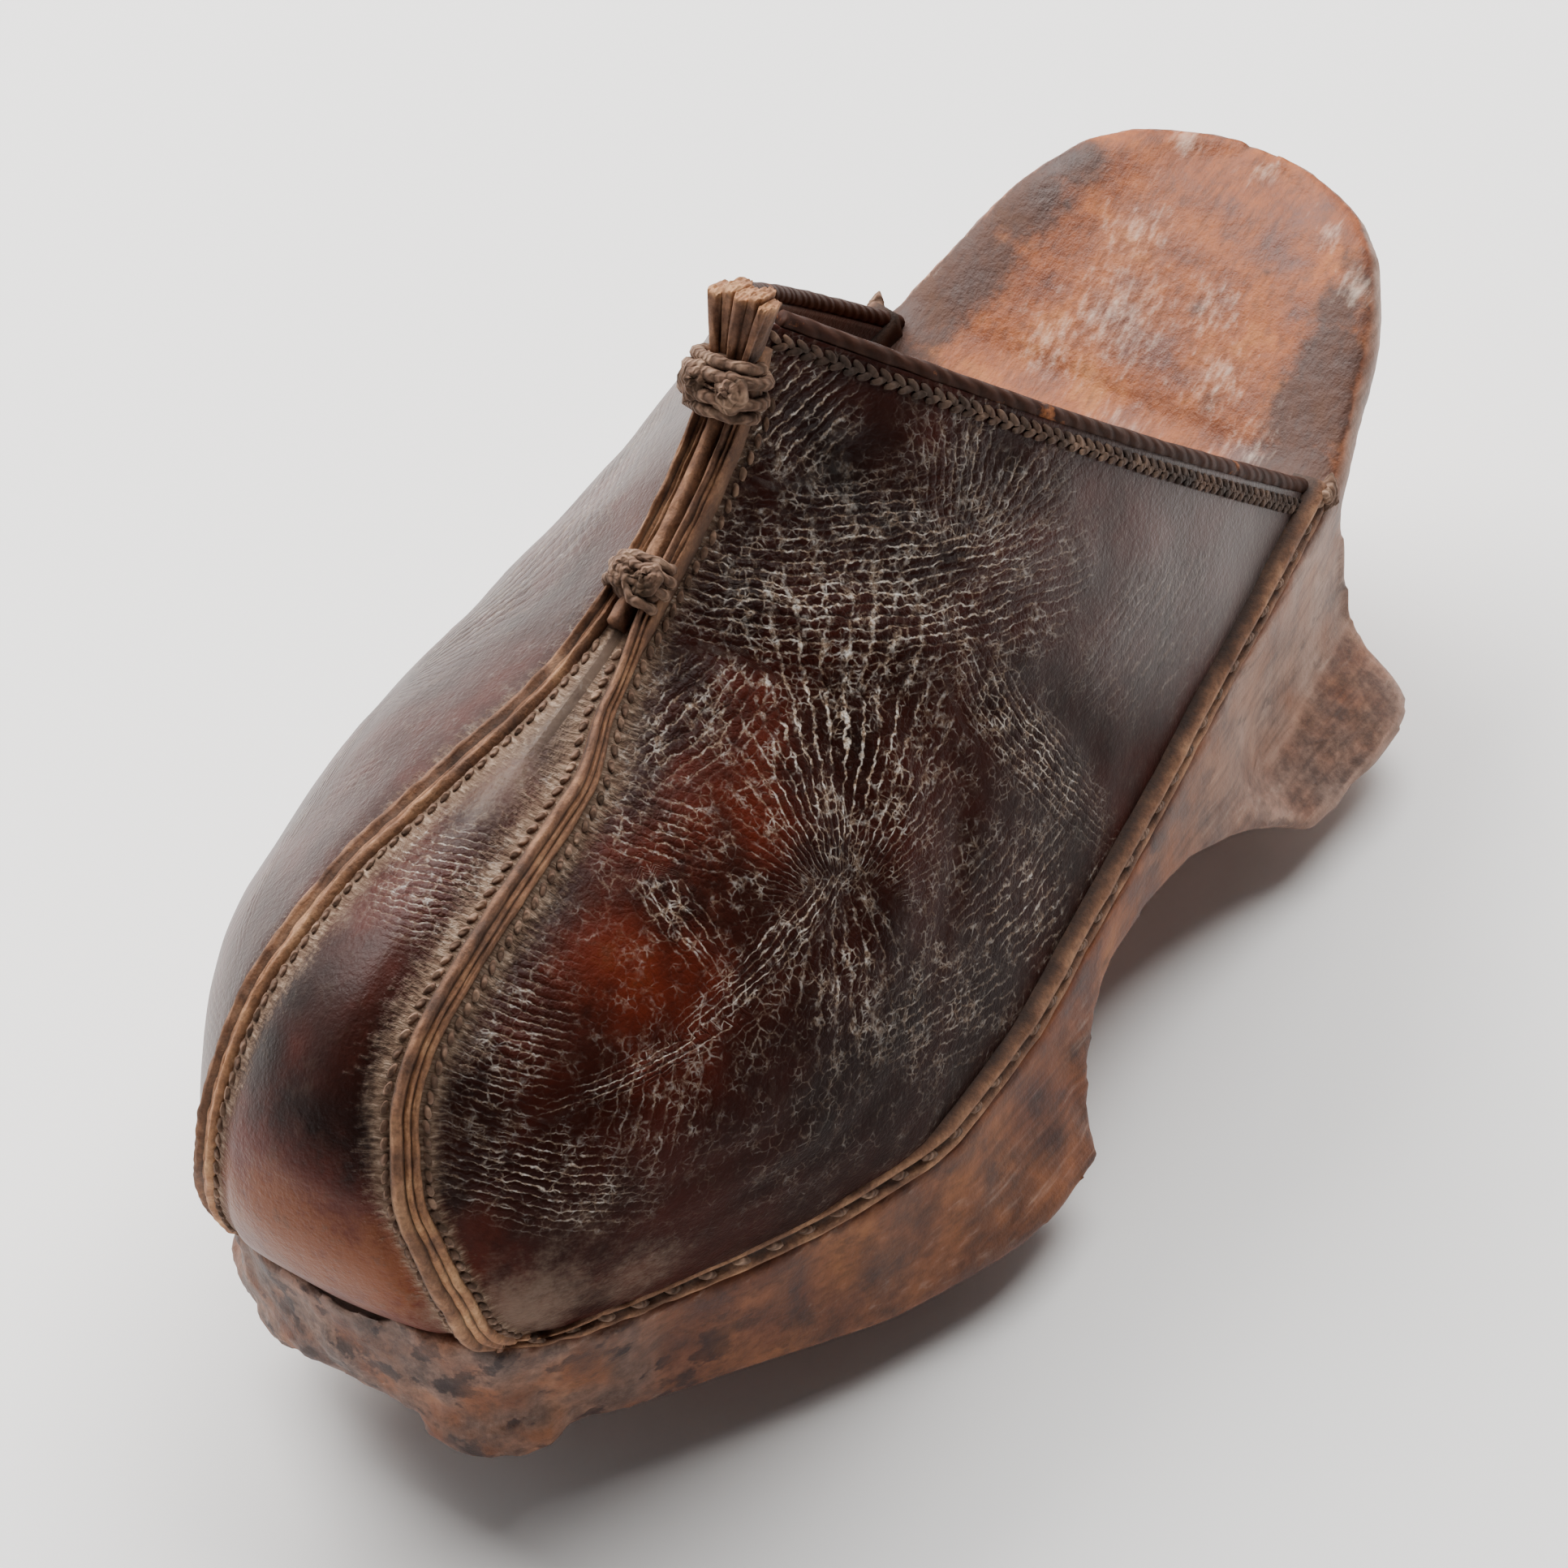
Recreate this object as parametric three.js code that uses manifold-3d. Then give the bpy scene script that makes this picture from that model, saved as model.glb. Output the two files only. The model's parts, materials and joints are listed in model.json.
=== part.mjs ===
// A straight-lasted ice shoe: a carved wooden sole on two blocks with four iron blades under it, and
// a backless leather upper of two quarters and a narrow toe panel, joined by raised seams.
// Millimetres. +X runs to the toe, +Y to the wearer's left, +Z up, and the blades' tips stand on z = 0.

import * as THREE from "three";
import * as BufferGeometryUtils from "three/addons/utils/BufferGeometryUtils.js";
import Module from "manifold-3d";

const wasm = await Module();
wasm.setup();

// Driving sizes
const length = 247; // heel end to the front of the leather
const ballWidth = 101; // wooden platform across the ball
const treadWidth = 120; // front block across its rear edge
const bladeDrop = 9; // how far the iron blades stand below the wood
const soleRise = 36.6; // tread plane to the platform's edge at the collar's end
const archHeight = 88; // platform edge to the collar's peak
const wall = 2.4; // leather
const ledge = 2.4; // platform standing out beyond the leather
const clearance = 0.3; // between pieces that touch
const rimChamfer = 1.2; // platform's upper arris
const heelChamfer = 3; // the same arris behind the leather, worn round
const treadBevel = 1.8; // blocks' lower arris
const rimWidth = 7; // flat edge of the platform that carries the leather
const footbedDish = 2.2; // hollow of the footbed
const weltHeight = 5; // strip along the leather's foot
const weltThickness = 2;
const weltKnot = 3.1; // radius of the thread knot at each end of the strip
const seamWidth = 4.6; // raised seams on the toe
const seamHeight = 2.4;
const tailWidth = 2.1; // the same seams side by side on the instep
const tailGap = 0.35; // between the three strips on the instep
const bindingRadius = 1.35; // rolled collar edge
const toeGap = 2; // open joint between the toe panel and the wood
const bladeThickness = 6.4;
const tangDepth = 7; // iron in the wood
const tangShoulder = 2; // step from the blade to its tang, at each end
const rollRadius = 4.2; // carved roll under the toe
const stubLength = 9.5; // split end of the seams, standing over the collar
const stubWidth = 10;
const stubDepth = 5.6;
const lowerKnotRadii = { x: 4.4, y: 5, z: 3.4 }; // thread knot where the seams part
const upperKnotRadii = { x: 5.4, y: 6.6, z: 4.8 }; // thread knot at the collar
const lowerKnotHeight = 1.2; // its middle over the leather
const upperKnotHeight = 1.9;
const stripRoot = 2.2; // depth of a strip's solid under the leather's face, before it is trimmed
const skirt = 8; // leather drawn on below the platform, before it is trimmed

// Wooden platform's edge from above: place as a share of the length, half width as a share of ballWidth
const platformEdge = [
  { at: 0, half: 0.04 },
  { at: 0.0028, half: 0.099 },
  { at: 0.0101, half: 0.158 },
  { at: 0.0223, half: 0.208 },
  { at: 0.0445, half: 0.257 },
  { at: 0.081, half: 0.305 },
  { at: 0.1296, half: 0.342 },
  { at: 0.178, half: 0.376 },
  { at: 0.2514, half: 0.401 },
  { at: 0.3389, half: 0.424 },
  { at: 0.4275, half: 0.45 },
  { at: 0.5146, half: 0.475 },
  { at: 0.5972, half: 0.497 },
  { at: 0.67, half: 0.5 },
  { at: 0.74, half: 0.459 },
  { at: 0.8, half: 0.4 },
  { at: 0.844, half: 0.348 },
  { at: 0.8935, half: 0.29 },
  { at: 0.925, half: 0.25 },
  { at: 0.945, half: 0.207 },
  { at: 0.955, half: 0.162 },
  { at: 0.961, half: 0.1 },
  { at: 0.9645, half: 0.03 },
];

// Height of that edge over the tread plane, as a share of soleRise
const platformRise = [
  { at: 0, rise: 1.42 },
  { at: 0.0445, rise: 1.4 },
  { at: 0.081, rise: 1.31 },
  { at: 0.1296, rise: 1.15 },
  { at: 0.178, rise: 1.008 },
  { at: 0.2514, rise: 0.923 },
  { at: 0.3389, rise: 0.825 },
  { at: 0.4275, rise: 0.724 },
  { at: 0.5146, rise: 0.658 },
  { at: 0.5972, rise: 0.593 },
  { at: 0.688, rise: 0.568 },
  { at: 0.769, rise: 0.579 },
  { at: 0.844, rise: 0.615 },
  { at: 0.8935, rise: 0.66 },
  { at: 0.94, rise: 0.757 },
  { at: 0.9645, rise: 0.809 },
];

// Underside: height over the tread plane as a share of soleRise, half width as a share of treadWidth
const underside = [
  { at: 0, rise: 1.13, half: 0.02 },
  { at: 0.0028, rise: 1.12, half: 0.07 },
  { at: 0.0223, rise: 1.1, half: 0.145 },
  { at: 0.0445, rise: 1.07, half: 0.175 },
  { at: 0.1, rise: 0.98, half: 0.225 },
  { at: 0.15, rise: 0.87, half: 0.265 },
  { at: 0.164, rise: 0.8, half: 0.28 },
  { at: 0.167, rise: 0, half: 0.35 },
  { at: 0.1715, rise: 0, half: 0.397 },
  { at: 0.18, rise: 0, half: 0.423 },
  { at: 0.195, rise: 0, half: 0.44 },
  { at: 0.24, rise: 0, half: 0.45 },
  { at: 0.2996, rise: 0, half: 0.436 },
  { at: 0.318, rise: 0.1, half: 0.42 },
  { at: 0.36, rise: 0.27, half: 0.4 },
  { at: 0.4, rise: 0.36, half: 0.388 },
  { at: 0.45, rise: 0.402, half: 0.388 },
  { at: 0.5, rise: 0.4, half: 0.4 },
  { at: 0.53, rise: 0.362, half: 0.418 },
  { at: 0.555, rise: 0.275, half: 0.44 },
  { at: 0.57, rise: 0.145, half: 0.462 },
  { at: 0.5749, rise: 0, half: 0.472 },
  { at: 0.583, rise: 0, half: 0.492 },
  { at: 0.6, rise: 0, half: 0.5 },
  { at: 0.65, rise: 0, half: 0.486 },
  { at: 0.7287, rise: 0, half: 0.43 },
  { at: 0.8, rise: 0.07, half: 0.352 },
  { at: 0.87, rise: 0.13, half: 0.268 },
  { at: 0.92, rise: 0.175, half: 0.2 },
  { at: 0.945, rise: 0.22, half: 0.157 },
  { at: 0.957, rise: 0.32, half: 0.105 },
  { at: 0.9645, rise: 0.5, half: 0.02 },
];

// Flank between platform and tread: height up it, and how far it has flared, at the front and at the heel
const flankShape = [
  { up: 0.28, front: 0.6, heel: 0.06 },
  { up: 0.55, front: 0.31, heel: -0.04 },
  { up: 0.82, front: 0.1, heel: -0.03 },
];

// Leather, hoop by hoop from the collar to the toe. foot and crown are shares of the length, rise is
// the crown over the foot as a share of archHeight. A hoop's half width goes from its foot, h = 0, to
// its crown, h = 1, as (1 - h ^ square) ^ lean, and the left and right quarters have their own pair.
const hoops = [
  { foot: 0.1867, crown: 0.544, rise: 0.978, squareL: 3.5, leanL: 1.2, squareR: 2.7, leanR: 1.2 },
  { foot: 0.2514, crown: 0.5688, rise: 0.891, squareL: 3.5, leanL: 1.12, squareR: 2.8, leanR: 1.12 },
  { foot: 0.3389, crown: 0.6247, rise: 0.802, squareL: 3.4, leanL: 1.02, squareR: 3.1, leanR: 1.04 },
  { foot: 0.4275, crown: 0.6964, rise: 0.756, squareL: 3.4, leanL: 0.95, squareR: 3.3, leanR: 0.96 },
  { foot: 0.5146, crown: 0.7773, rise: 0.7375, squareL: 3.5, leanL: 0.84, squareR: 3.5, leanR: 0.87 },
  { foot: 0.5972, crown: 0.8555, rise: 0.725, squareL: 3.2, leanL: 0.76, squareR: 2.9, leanR: 0.8 },
  { foot: 0.685, crown: 0.9263, rise: 0.668, squareL: 2.9, leanL: 0.66, squareR: 2.5, leanR: 0.71 },
  { foot: 0.765, crown: 0.9696, rise: 0.557, squareL: 2.7, leanL: 0.6, squareR: 2.4, leanR: 0.62 },
  { foot: 0.838, crown: 0.992, rise: 0.42, squareL: 2.7, leanL: 0.54, squareR: 2.5, leanR: 0.55 },
  { foot: 0.888, crown: 0.996, rise: 0.3, squareL: 2.6, leanL: 0.5, squareR: 2.6, leanR: 0.5 },
  { foot: 0.936, crown: 0.989, rise: 0.151, squareL: 2.4, leanL: 0.5, squareR: 2.4, leanR: 0.5 },
  { foot: 0.96, crown: 0.968, rise: 0.03, squareL: 2.2, leanL: 0.5, squareR: 2.2, leanR: 0.5 },
];

// Raised seams: hoop number, and distance from the middle as a share of ballWidth. Their upper
// stretches run side by side on the instep, where tailWidth and tailGap place them.
const tailEnd = 0.3;
const tailStart = 2.45;
const upperKnotHoop = 0.78;
const stubHoop = 0.42;
const seamLeftPath = [
  { hoop: 3.33, across: 0.043 },
  { hoop: 4, across: 0.079 },
  { hoop: 4.7, across: 0.087 },
  { hoop: 5.5, across: 0.094 },
  { hoop: 6.2, across: 0.097 },
  { hoop: 6.7, across: 0.105 },
  { hoop: 7.15, across: 0.121 },
  { hoop: 7.65, across: 0.139 },
  { hoop: 8.15, across: 0.163 },
  { hoop: 8.7, across: 0.18 },
  { hoop: 9.3, across: 0.195 },
  { hoop: 10.35, across: 0.2 },
];
const seamRightPath = [
  { hoop: 3.33, across: 0.042 },
  { hoop: 4.4, across: 0.094 },
  { hoop: 5.2, across: 0.135 },
  { hoop: 5.95, across: 0.158 },
  { hoop: 6.65, across: 0.173 },
  { hoop: 7.35, across: 0.178 },
  { hoop: 7.85, across: 0.18 },
  { hoop: 8.65, across: 0.182 },
  { hoop: 9.3, across: 0.195 },
  { hoop: 10.35, across: 0.2 },
];

// Iron blades: place as a share of the length, across and long as shares of treadWidth, turn in degrees
// from +X
const blades = [
  { name: "blade_front_left", at: 0.638, across: 0.19, turn: 60, long: 0.225 },
  { name: "blade_front_right", at: 0.632, across: -0.4, turn: 106, long: 0.217 },
  { name: "blade_heel_left", at: 0.231, across: 0.222, turn: 119, long: 0.2 },
  { name: "blade_heel_right", at: 0.213, across: -0.318, turn: 61, long: 0.225 },
];

// Carved swellings under the toe: centre, radii and turn, all shares of the named sizes
const swellings = [
  { at: 0.93, across: 0.14, rise: 0.25, along: 0.042, wide: 0.048, deep: 0.17, turn: -58 },
  { at: 0.9, across: -0.2, rise: 0.23, along: 0.038, wide: 0.048, deep: 0.16, turn: 48 },
];
// Hollows gouged behind them
const gouges = [
  { at: 0.862, across: 0.05, rise: 0, along: 0.07, wide: 0.165, deep: 0.22, turn: 0 },
  { at: 0.868, across: -0.27, rise: 0.09, along: 0.024, wide: 0.04, deep: 0.11, turn: 0 },
];
const rollPath = [
  { at: 0.905, across: -0.14, rise: 0.2 },
  { at: 0.866, across: -0.122, rise: 0.16 },
  { at: 0.832, across: -0.077, rise: 0.125 },
  { at: 0.797, across: -0.046, rise: 0.095 },
  { at: 0.768, across: -0.012, rise: 0.085 },
];

const up = new THREE.Vector3(0, 0, 1);
const across = new THREE.Vector3(0, 1, 0);
const hoopCount = hoops.length - 1;
const treadPlane = bladeDrop;
const placeX = (at) => (at - 0.5) * length;

// Shape-keeping cubic through a table's column, keyed by another column
function along(table, key, column, value) {
  const last = table.length - 1;
  const span = (i) => table[i + 1][key] - table[i][key];
  const slope = (i) => (table[i + 1][column] - table[i][column]) / span(i);
  const tangent = (i) => {
    if (i === 0) return slope(0);
    if (i === last) return slope(last - 1);
    const before = slope(i - 1);
    const after = slope(i);
    if (before * after <= 0) return 0;
    return (2 * before * after) / (before + after);
  };
  const inside = THREE.MathUtils.clamp(value, table[0][key], table[last][key]);
  let i = 0;
  while (i < last - 1 && inside > table[i + 1][key]) i += 1;
  const h = span(i);
  const t = (inside - table[i][key]) / h;
  const a = table[i][column];
  const b = table[i + 1][column];
  const start = (1 + 2 * t) * (1 - t) ** 2 * a + t * (1 - t) ** 2 * h * tangent(i);
  return start + t ** 2 * (3 - 2 * t) * b + t ** 2 * (t - 1) * h * tangent(i + 1);
}

hoops.forEach((hoop, index) => {
  hoop.number = index;
});

// Closed skin over a list of rings with equally many points, ends closed by fans
function loft(rings) {
  const count = rings[0].length;
  const positions = rings.flat().flatMap((p) => [p.x, p.y, p.z]);
  const index = [];
  for (let i = 0; i < rings.length - 1; i += 1) {
    for (let j = 0; j < count; j += 1) {
      const a = i * count + j;
      const b = i * count + ((j + 1) % count);
      index.push(a, b, a + count, b, b + count, a + count);
    }
  }
  for (const end of [0, rings.length - 1]) {
    const ring = rings[end];
    const middle = ring.reduce((sum, p) => sum.add(p), new THREE.Vector3()).divideScalar(count);
    const hub = positions.length / 3;
    positions.push(middle.x, middle.y, middle.z);
    for (let j = 0; j < count; j += 1) {
      const a = end * count + j;
      const b = end * count + ((j + 1) % count);
      if (end === 0) index.push(hub, b, a);
      else index.push(hub, a, b);
    }
  }
  const geometry = new THREE.BufferGeometry();
  geometry.setAttribute("position", new THREE.Float32BufferAttribute(positions, 3));
  geometry.setIndex(index);
  return geometry;
}

// Six times the signed volume, negative where the faces point inwards
function signedVolume(geometry) {
  const p = geometry.attributes.position;
  const corners = [new THREE.Vector3(), new THREE.Vector3(), new THREE.Vector3()];
  let sum = 0;
  for (let i = 0; i < geometry.index.count; i += 3) {
    corners.forEach((corner, k) => corner.fromBufferAttribute(p, geometry.index.getX(i + k)));
    sum += corners[0].dot(corners[1].cross(corners[2]));
  }
  return sum;
}

function solid(geometry) {
  const bare = geometry.clone();
  bare.deleteAttribute("normal");
  bare.deleteAttribute("uv");
  const merged = BufferGeometryUtils.mergeVertices(bare, 1e-4);
  const triVerts = Uint32Array.from(merged.index.array);
  if (signedVolume(merged) < 0) triVerts.reverse();
  const vertProperties = Float32Array.from(merged.attributes.position.array);
  return new wasm.Manifold(new wasm.Mesh({ numProp: 3, vertProperties, triVerts }));
}

function surface(manifold) {
  const mesh = manifold.getMesh();
  const geometry = new THREE.BufferGeometry();
  const positions = Float32Array.from(mesh.vertProperties);
  geometry.setAttribute("position", new THREE.BufferAttribute(positions, 3));
  geometry.setIndex(new THREE.BufferAttribute(Uint32Array.from(mesh.triVerts), 1));
  geometry.computeVertexNormals();
  return geometry;
}

const platformTop = (x) => treadPlane + soleRise * along(platformRise, "at", "rise", x / length + 0.5);

// Platform edge at a share of the length, moved in by an inset square to the edge
function edgePoint(at, inset) {
  const step = 0.001;
  const low = Math.max(at - step, 0);
  const high = Math.min(at + step, platformEdge[platformEdge.length - 1].at);
  const half = (value) => ballWidth * along(platformEdge, "at", "half", value);
  const run = (high - low) * length;
  const fall = half(low) - half(high);
  const size = Math.hypot(run, fall);
  return { x: placeX(at) - (inset * fall) / size, y: half(at) - (inset * run) / size };
}

// Leather surface: hoop number from 0 to 11, turn from 0 at the crown to 1 at the foot
function hoopFrame(number) {
  const foot = edgePoint(along(hoops, "number", "foot", number), ledge);
  const footZ = platformTop(foot.x);
  return {
    foot: new THREE.Vector3(foot.x, Math.max(foot.y, 1), footZ),
    crown: new THREE.Vector3(
      placeX(along(hoops, "number", "crown", number)),
      0,
      footZ + archHeight * along(hoops, "number", "rise", number),
    ),
  };
}

function leatherPoint(number, turn, side) {
  const frame = hoopFrame(number);
  const hand = side > 0 ? "L" : "R";
  const square = along(hoops, "number", `square${hand}`, number);
  const lean = along(hoops, "number", `lean${hand}`, number);
  const angle = (turn * Math.PI) / 2;
  const height = Math.cos(angle) ** (2 / square);
  const wide = Math.sin(angle) ** (2 * lean);
  return new THREE.Vector3(
    THREE.MathUtils.lerp(frame.foot.x, frame.crown.x, height),
    side * frame.foot.y * wide,
    THREE.MathUtils.lerp(frame.foot.z, frame.crown.z, height),
  );
}

function leatherNormal(number, turn, side) {
  const step = 0.02;
  const low = THREE.MathUtils.clamp(turn - step, 0.03, 0.985 - step);
  const high = THREE.MathUtils.clamp(turn + step, 0.03 + step, 0.985);
  const early = Math.max(number - step, 0);
  const late = Math.min(number + step, hoopCount);
  const middle = (low + high) / 2;
  const down = leatherPoint(number, high, side).sub(leatherPoint(number, low, side));
  const fore = leatherPoint(late, middle, side).sub(leatherPoint(early, middle, side));
  return fore.cross(down).multiplyScalar(side).normalize();
}

// One half of a hoop at an offset from the leather's outer face, cut where it meets the middle
function halfHoop(number, offset, side, count) {
  const fine = 56;
  const run = [];
  for (let i = 0; i <= fine; i += 1) {
    const turn = 1 - i / fine;
    const point = leatherPoint(number, turn, side);
    point.addScaledVector(leatherNormal(number, turn, side), offset);
    if (point.y * side <= 0 || i === fine) {
      const before = run[run.length - 1];
      const share = before.y / (before.y - point.y || 1);
      const meet = before.clone().lerp(point, THREE.MathUtils.clamp(share, 0, 1));
      run.push(meet.setY(0));
      break;
    }
    run.push(point);
  }
  const lengths = [0];
  for (let i = 1; i < run.length; i += 1) {
    lengths.push(lengths[i - 1] + run[i].distanceTo(run[i - 1]));
  }
  const total = lengths[lengths.length - 1];
  const points = [];
  let i = 1;
  for (let k = 0; k <= count; k += 1) {
    const goal = (total * k) / count;
    while (i < run.length - 1 && lengths[i] < goal) i += 1;
    const share = (goal - lengths[i - 1]) / (lengths[i] - lengths[i - 1] || 1);
    points.push(run[i - 1].clone().lerp(run[i], share));
  }
  return points;
}

// Whole ring: left foot, crown, right foot, and a skirt below that the platform's plane cuts off
function hoopRing(number, offset, perHalf) {
  const left = halfHoop(number, offset, 1, perHalf);
  const right = halfHoop(number, offset, -1, perHalf).reverse();
  const ring = [...left, ...right.slice(1)];
  const frame = hoopFrame(number);
  const down = frame.foot.clone().sub(frame.crown).setY(0).normalize();
  const under = (point) => point.clone().addScaledVector(down, skirt);
  return [under(left[0]), ...ring, under(right[right.length - 1])];
}

const hoopNumbers = [];
for (let number = 0; number <= hoopCount; number += number < 7 ? 0.42 : 0.3) hoopNumbers.push(number);
hoopNumbers.push(hoopCount);

// Solid last, offset from the leather's outer face. Its rear is drawn out when it has to cut through.
function last(offset, drawnOut, lastHoop, perHalf) {
  const numbers = hoopNumbers.filter((number) => number <= lastHoop);
  const rings = numbers.map((number) => hoopRing(number, offset, perHalf));
  if (drawnOut > 0) {
    const back = new THREE.Vector3(-drawnOut, 0, drawnOut);
    rings.unshift(rings[0].map((point) => point.clone().add(back)));
  }
  return solid(loft(rings));
}

// Everything below the platform's top face plus a height, between two widths
function belowPlatform(height, from, to) {
  const profile = new THREE.Shape();
  const steps = 60;
  const rear = -0.5 * length - 20;
  const front = 0.5 * length + 20;
  profile.moveTo(rear, -20);
  profile.lineTo(front, -20);
  profile.lineTo(front, platformTop(front) + height);
  for (let i = steps; i >= 0; i -= 1) {
    const x = THREE.MathUtils.lerp(-0.5 * length, 0.5 * length, i / steps);
    profile.lineTo(x, platformTop(x) + height);
  }
  profile.lineTo(rear, platformTop(rear) + height);
  const geometry = new THREE.ExtrudeGeometry(profile, { depth: to - from, bevelEnabled: false });
  geometry.rotateX(Math.PI / 2);
  geometry.translate(0, to, 0);
  return solid(geometry);
}

// Everything ahead of a share of the length
function aheadOf(at) {
  const reach = length;
  const geometry = new THREE.BoxGeometry(reach, reach, reach);
  geometry.translate(placeX(at) + reach / 2, 0, treadPlane + reach * 0.4);
  return solid(geometry);
}

// Sole: one carved block, section by section from the heel to the toe
function soleSection(at) {
  const edge = edgePoint(at, 0);
  const top = platformTop(edge.x);
  const low = treadPlane + soleRise * along(underside, "at", "rise", at);
  const tread = treadWidth * along(underside, "at", "half", at);
  const behind = THREE.MathUtils.smoothstep(0.19 - at, 0, 0.04);
  const thin = Math.min(1, (top - low) / 14);
  const chamfer = Math.min(THREE.MathUtils.lerp(rimChamfer, heelChamfer, behind) * thin, edge.y * 0.4);
  const bevel = Math.min(treadBevel * thin, tread * 0.4);
  const rim = Math.min(rimWidth, edge.y * 0.6);
  const overHeel = THREE.MathUtils.smoothstep(0.36 - at, 0, 0.06);
  const wallTop = top - chamfer - 2.5 * thin;
  const flankPoints = flankShape.map((row) => [
    THREE.MathUtils.lerp(edge.y, tread, THREE.MathUtils.lerp(row.front, row.heel, overHeel)),
    THREE.MathUtils.lerp(low + bevel, wallTop, row.up),
  ]);
  const half = [
    [0, low],
    [tread * 0.5, low],
    [tread - bevel, low],
    [tread, low + bevel],
    ...flankPoints,
    [edge.y, wallTop],
    [edge.y, top - chamfer],
    [edge.y - chamfer, top],
    [edge.y - rim, top],
    [(edge.y - rim) * 0.62, top - footbedDish * 0.85 * thin],
    [0, top - footbedDish * thin],
  ];
  const other = half.slice(1, -1).reverse();
  return [
    ...half.map(([y, z]) => new THREE.Vector3(edge.x, y, z)),
    ...other.map(([y, z]) => new THREE.Vector3(edge.x, -y, z)),
  ];
}

const bladeLong = (blade) => blade.long * treadWidth;

function bladeRing(blade, z, longBy, thickBy) {
  const points = [];
  const steps = 16;
  const direction = THREE.MathUtils.degToRad(blade.turn);
  for (let i = 0; i < steps; i += 1) {
    const angle = ((i + 0.5) / steps) * 2 * Math.PI;
    const square = (value) => Math.sign(value) * Math.abs(value) ** 0.5;
    const u = square(Math.cos(angle)) * (bladeLong(blade) / 2 + longBy);
    const v = square(Math.sin(angle)) * (bladeThickness / 2 + thickBy);
    points.push(
      new THREE.Vector3(
        placeX(blade.at) + u * Math.cos(direction) - v * Math.sin(direction),
        blade.across * treadWidth + u * Math.sin(direction) + v * Math.cos(direction),
        z,
      ),
    );
  }
  return points;
}

// Blade with a worn tip; its tang goes up into the wood
function bladeSolid(blade) {
  const shoulder = treadPlane - clearance;
  return solid(
    loft([
      bladeRing(blade, 0, -0.2 * bladeLong(blade), -0.22 * bladeThickness),
      bladeRing(blade, 0.16 * bladeDrop, -0.09 * bladeLong(blade), -0.1 * bladeThickness),
      bladeRing(blade, 0.45 * bladeDrop, -0.02 * bladeLong(blade), 0),
      bladeRing(blade, shoulder, 0, 0),
      bladeRing(blade, shoulder, -tangShoulder, -tangShoulder / 2),
      bladeRing(blade, treadPlane + tangDepth, -1.5 * tangShoulder, -tangShoulder / 2),
    ]),
  );
}

function tangSlot(blade) {
  const shoulder = -tangShoulder + clearance;
  return solid(
    loft([
      bladeRing(blade, treadPlane - 2, shoulder, clearance - tangShoulder / 2),
      bladeRing(blade, treadPlane + tangDepth + clearance, shoulder, clearance - tangShoulder / 2),
    ]),
  );
}

function swellingSolid(place) {
  const geometry = new THREE.SphereGeometry(1, 16, 10);
  geometry.scale(place.along * length, place.wide * treadWidth, place.deep * soleRise);
  geometry.rotateZ(THREE.MathUtils.degToRad(place.turn));
  geometry.translate(placeX(place.at), place.across * treadWidth, treadPlane + place.rise * soleRise);
  return solid(geometry);
}

function rollSolid() {
  const path = new THREE.CatmullRomCurve3(
    rollPath.map(
      (p) => new THREE.Vector3(placeX(p.at), p.across * treadWidth, treadPlane + p.rise * soleRise),
    ),
  );
  const rings = [];
  const steps = 14;
  for (let i = 0; i <= steps; i += 1) {
    const t = i / steps;
    const centre = path.getPoint(t);
    const forward = path.getTangent(t);
    const sideways = new THREE.Vector3().crossVectors(up, forward).normalize();
    const radius = rollRadius * Math.sqrt(Math.max(1 - (2 * t - 1) ** 4, 0.06));
    const ring = [];
    for (let k = 0; k < 10; k += 1) {
      const angle = (k / 10) * 2 * Math.PI;
      const point = centre.clone().addScaledVector(sideways, radius * Math.cos(angle));
      ring.push(point.addScaledVector(up, radius * 0.8 * Math.sin(angle)));
    }
    rings.push(ring);
  }
  return solid(loft(rings));
}

function soleSolid() {
  const stations = new Set(underside.map((row) => row.at));
  const near = (at) => [...stations].some((other) => Math.abs(other - at) < 0.008);
  for (const { at } of platformEdge) if (!near(at)) stations.add(at);
  const spaced = [...stations].sort((a, b) => a - b);
  let sole = solid(loft(spaced.map(soleSection)));
  for (const place of gouges) sole = sole.subtract(swellingSolid(place));
  for (const place of swellings) sole = sole.add(swellingSolid(place));
  sole = sole.add(rollSolid());
  for (const blade of blades) sole = sole.subtract(tangSlot(blade));
  return sole;
}

// A strip laid on the leather: rings across a path of frames, each { centre, normal, sideways, half, high }
function strip(frames, grow, depth) {
  const rings = frames.map(({ centre, normal, sideways, half, high }) => {
    const wide = half + grow;
    const top = high + grow;
    const profile = [
      [-wide, -depth],
      [-wide, top * 0.45],
      [-wide * 0.5, top],
      [wide * 0.5, top],
      [wide, top * 0.45],
      [wide, -depth],
    ];
    return profile.map(([s, n]) => centre.clone().addScaledVector(sideways, s).addScaledVector(normal, n));
  });
  return solid(loft(rings));
}

// Frame on the instep's crown, where the seams run side by side
function crownFrame(number, offset) {
  const step = 0.05;
  const here = hoopFrame(number).crown;
  const fore = hoopFrame(number + step).crown.sub(hoopFrame(Math.max(number - step, 0)).crown);
  const normal = new THREE.Vector3().crossVectors(fore, across).normalize();
  return { centre: here.clone().addScaledVector(across, offset), normal };
}

// Frame on a quarter, at a distance from the middle
function quarterFrame(number, distance, side) {
  const half = hoopFrame(number).foot.y;
  const lean = along(hoops, "number", side > 0 ? "leanL" : "leanR", number);
  const turn = (2 / Math.PI) * Math.asin(Math.min(distance / half, 1) ** (1 / (2 * lean)));
  return { centre: leatherPoint(number, turn, side), normal: leatherNormal(number, turn, side) };
}

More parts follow.
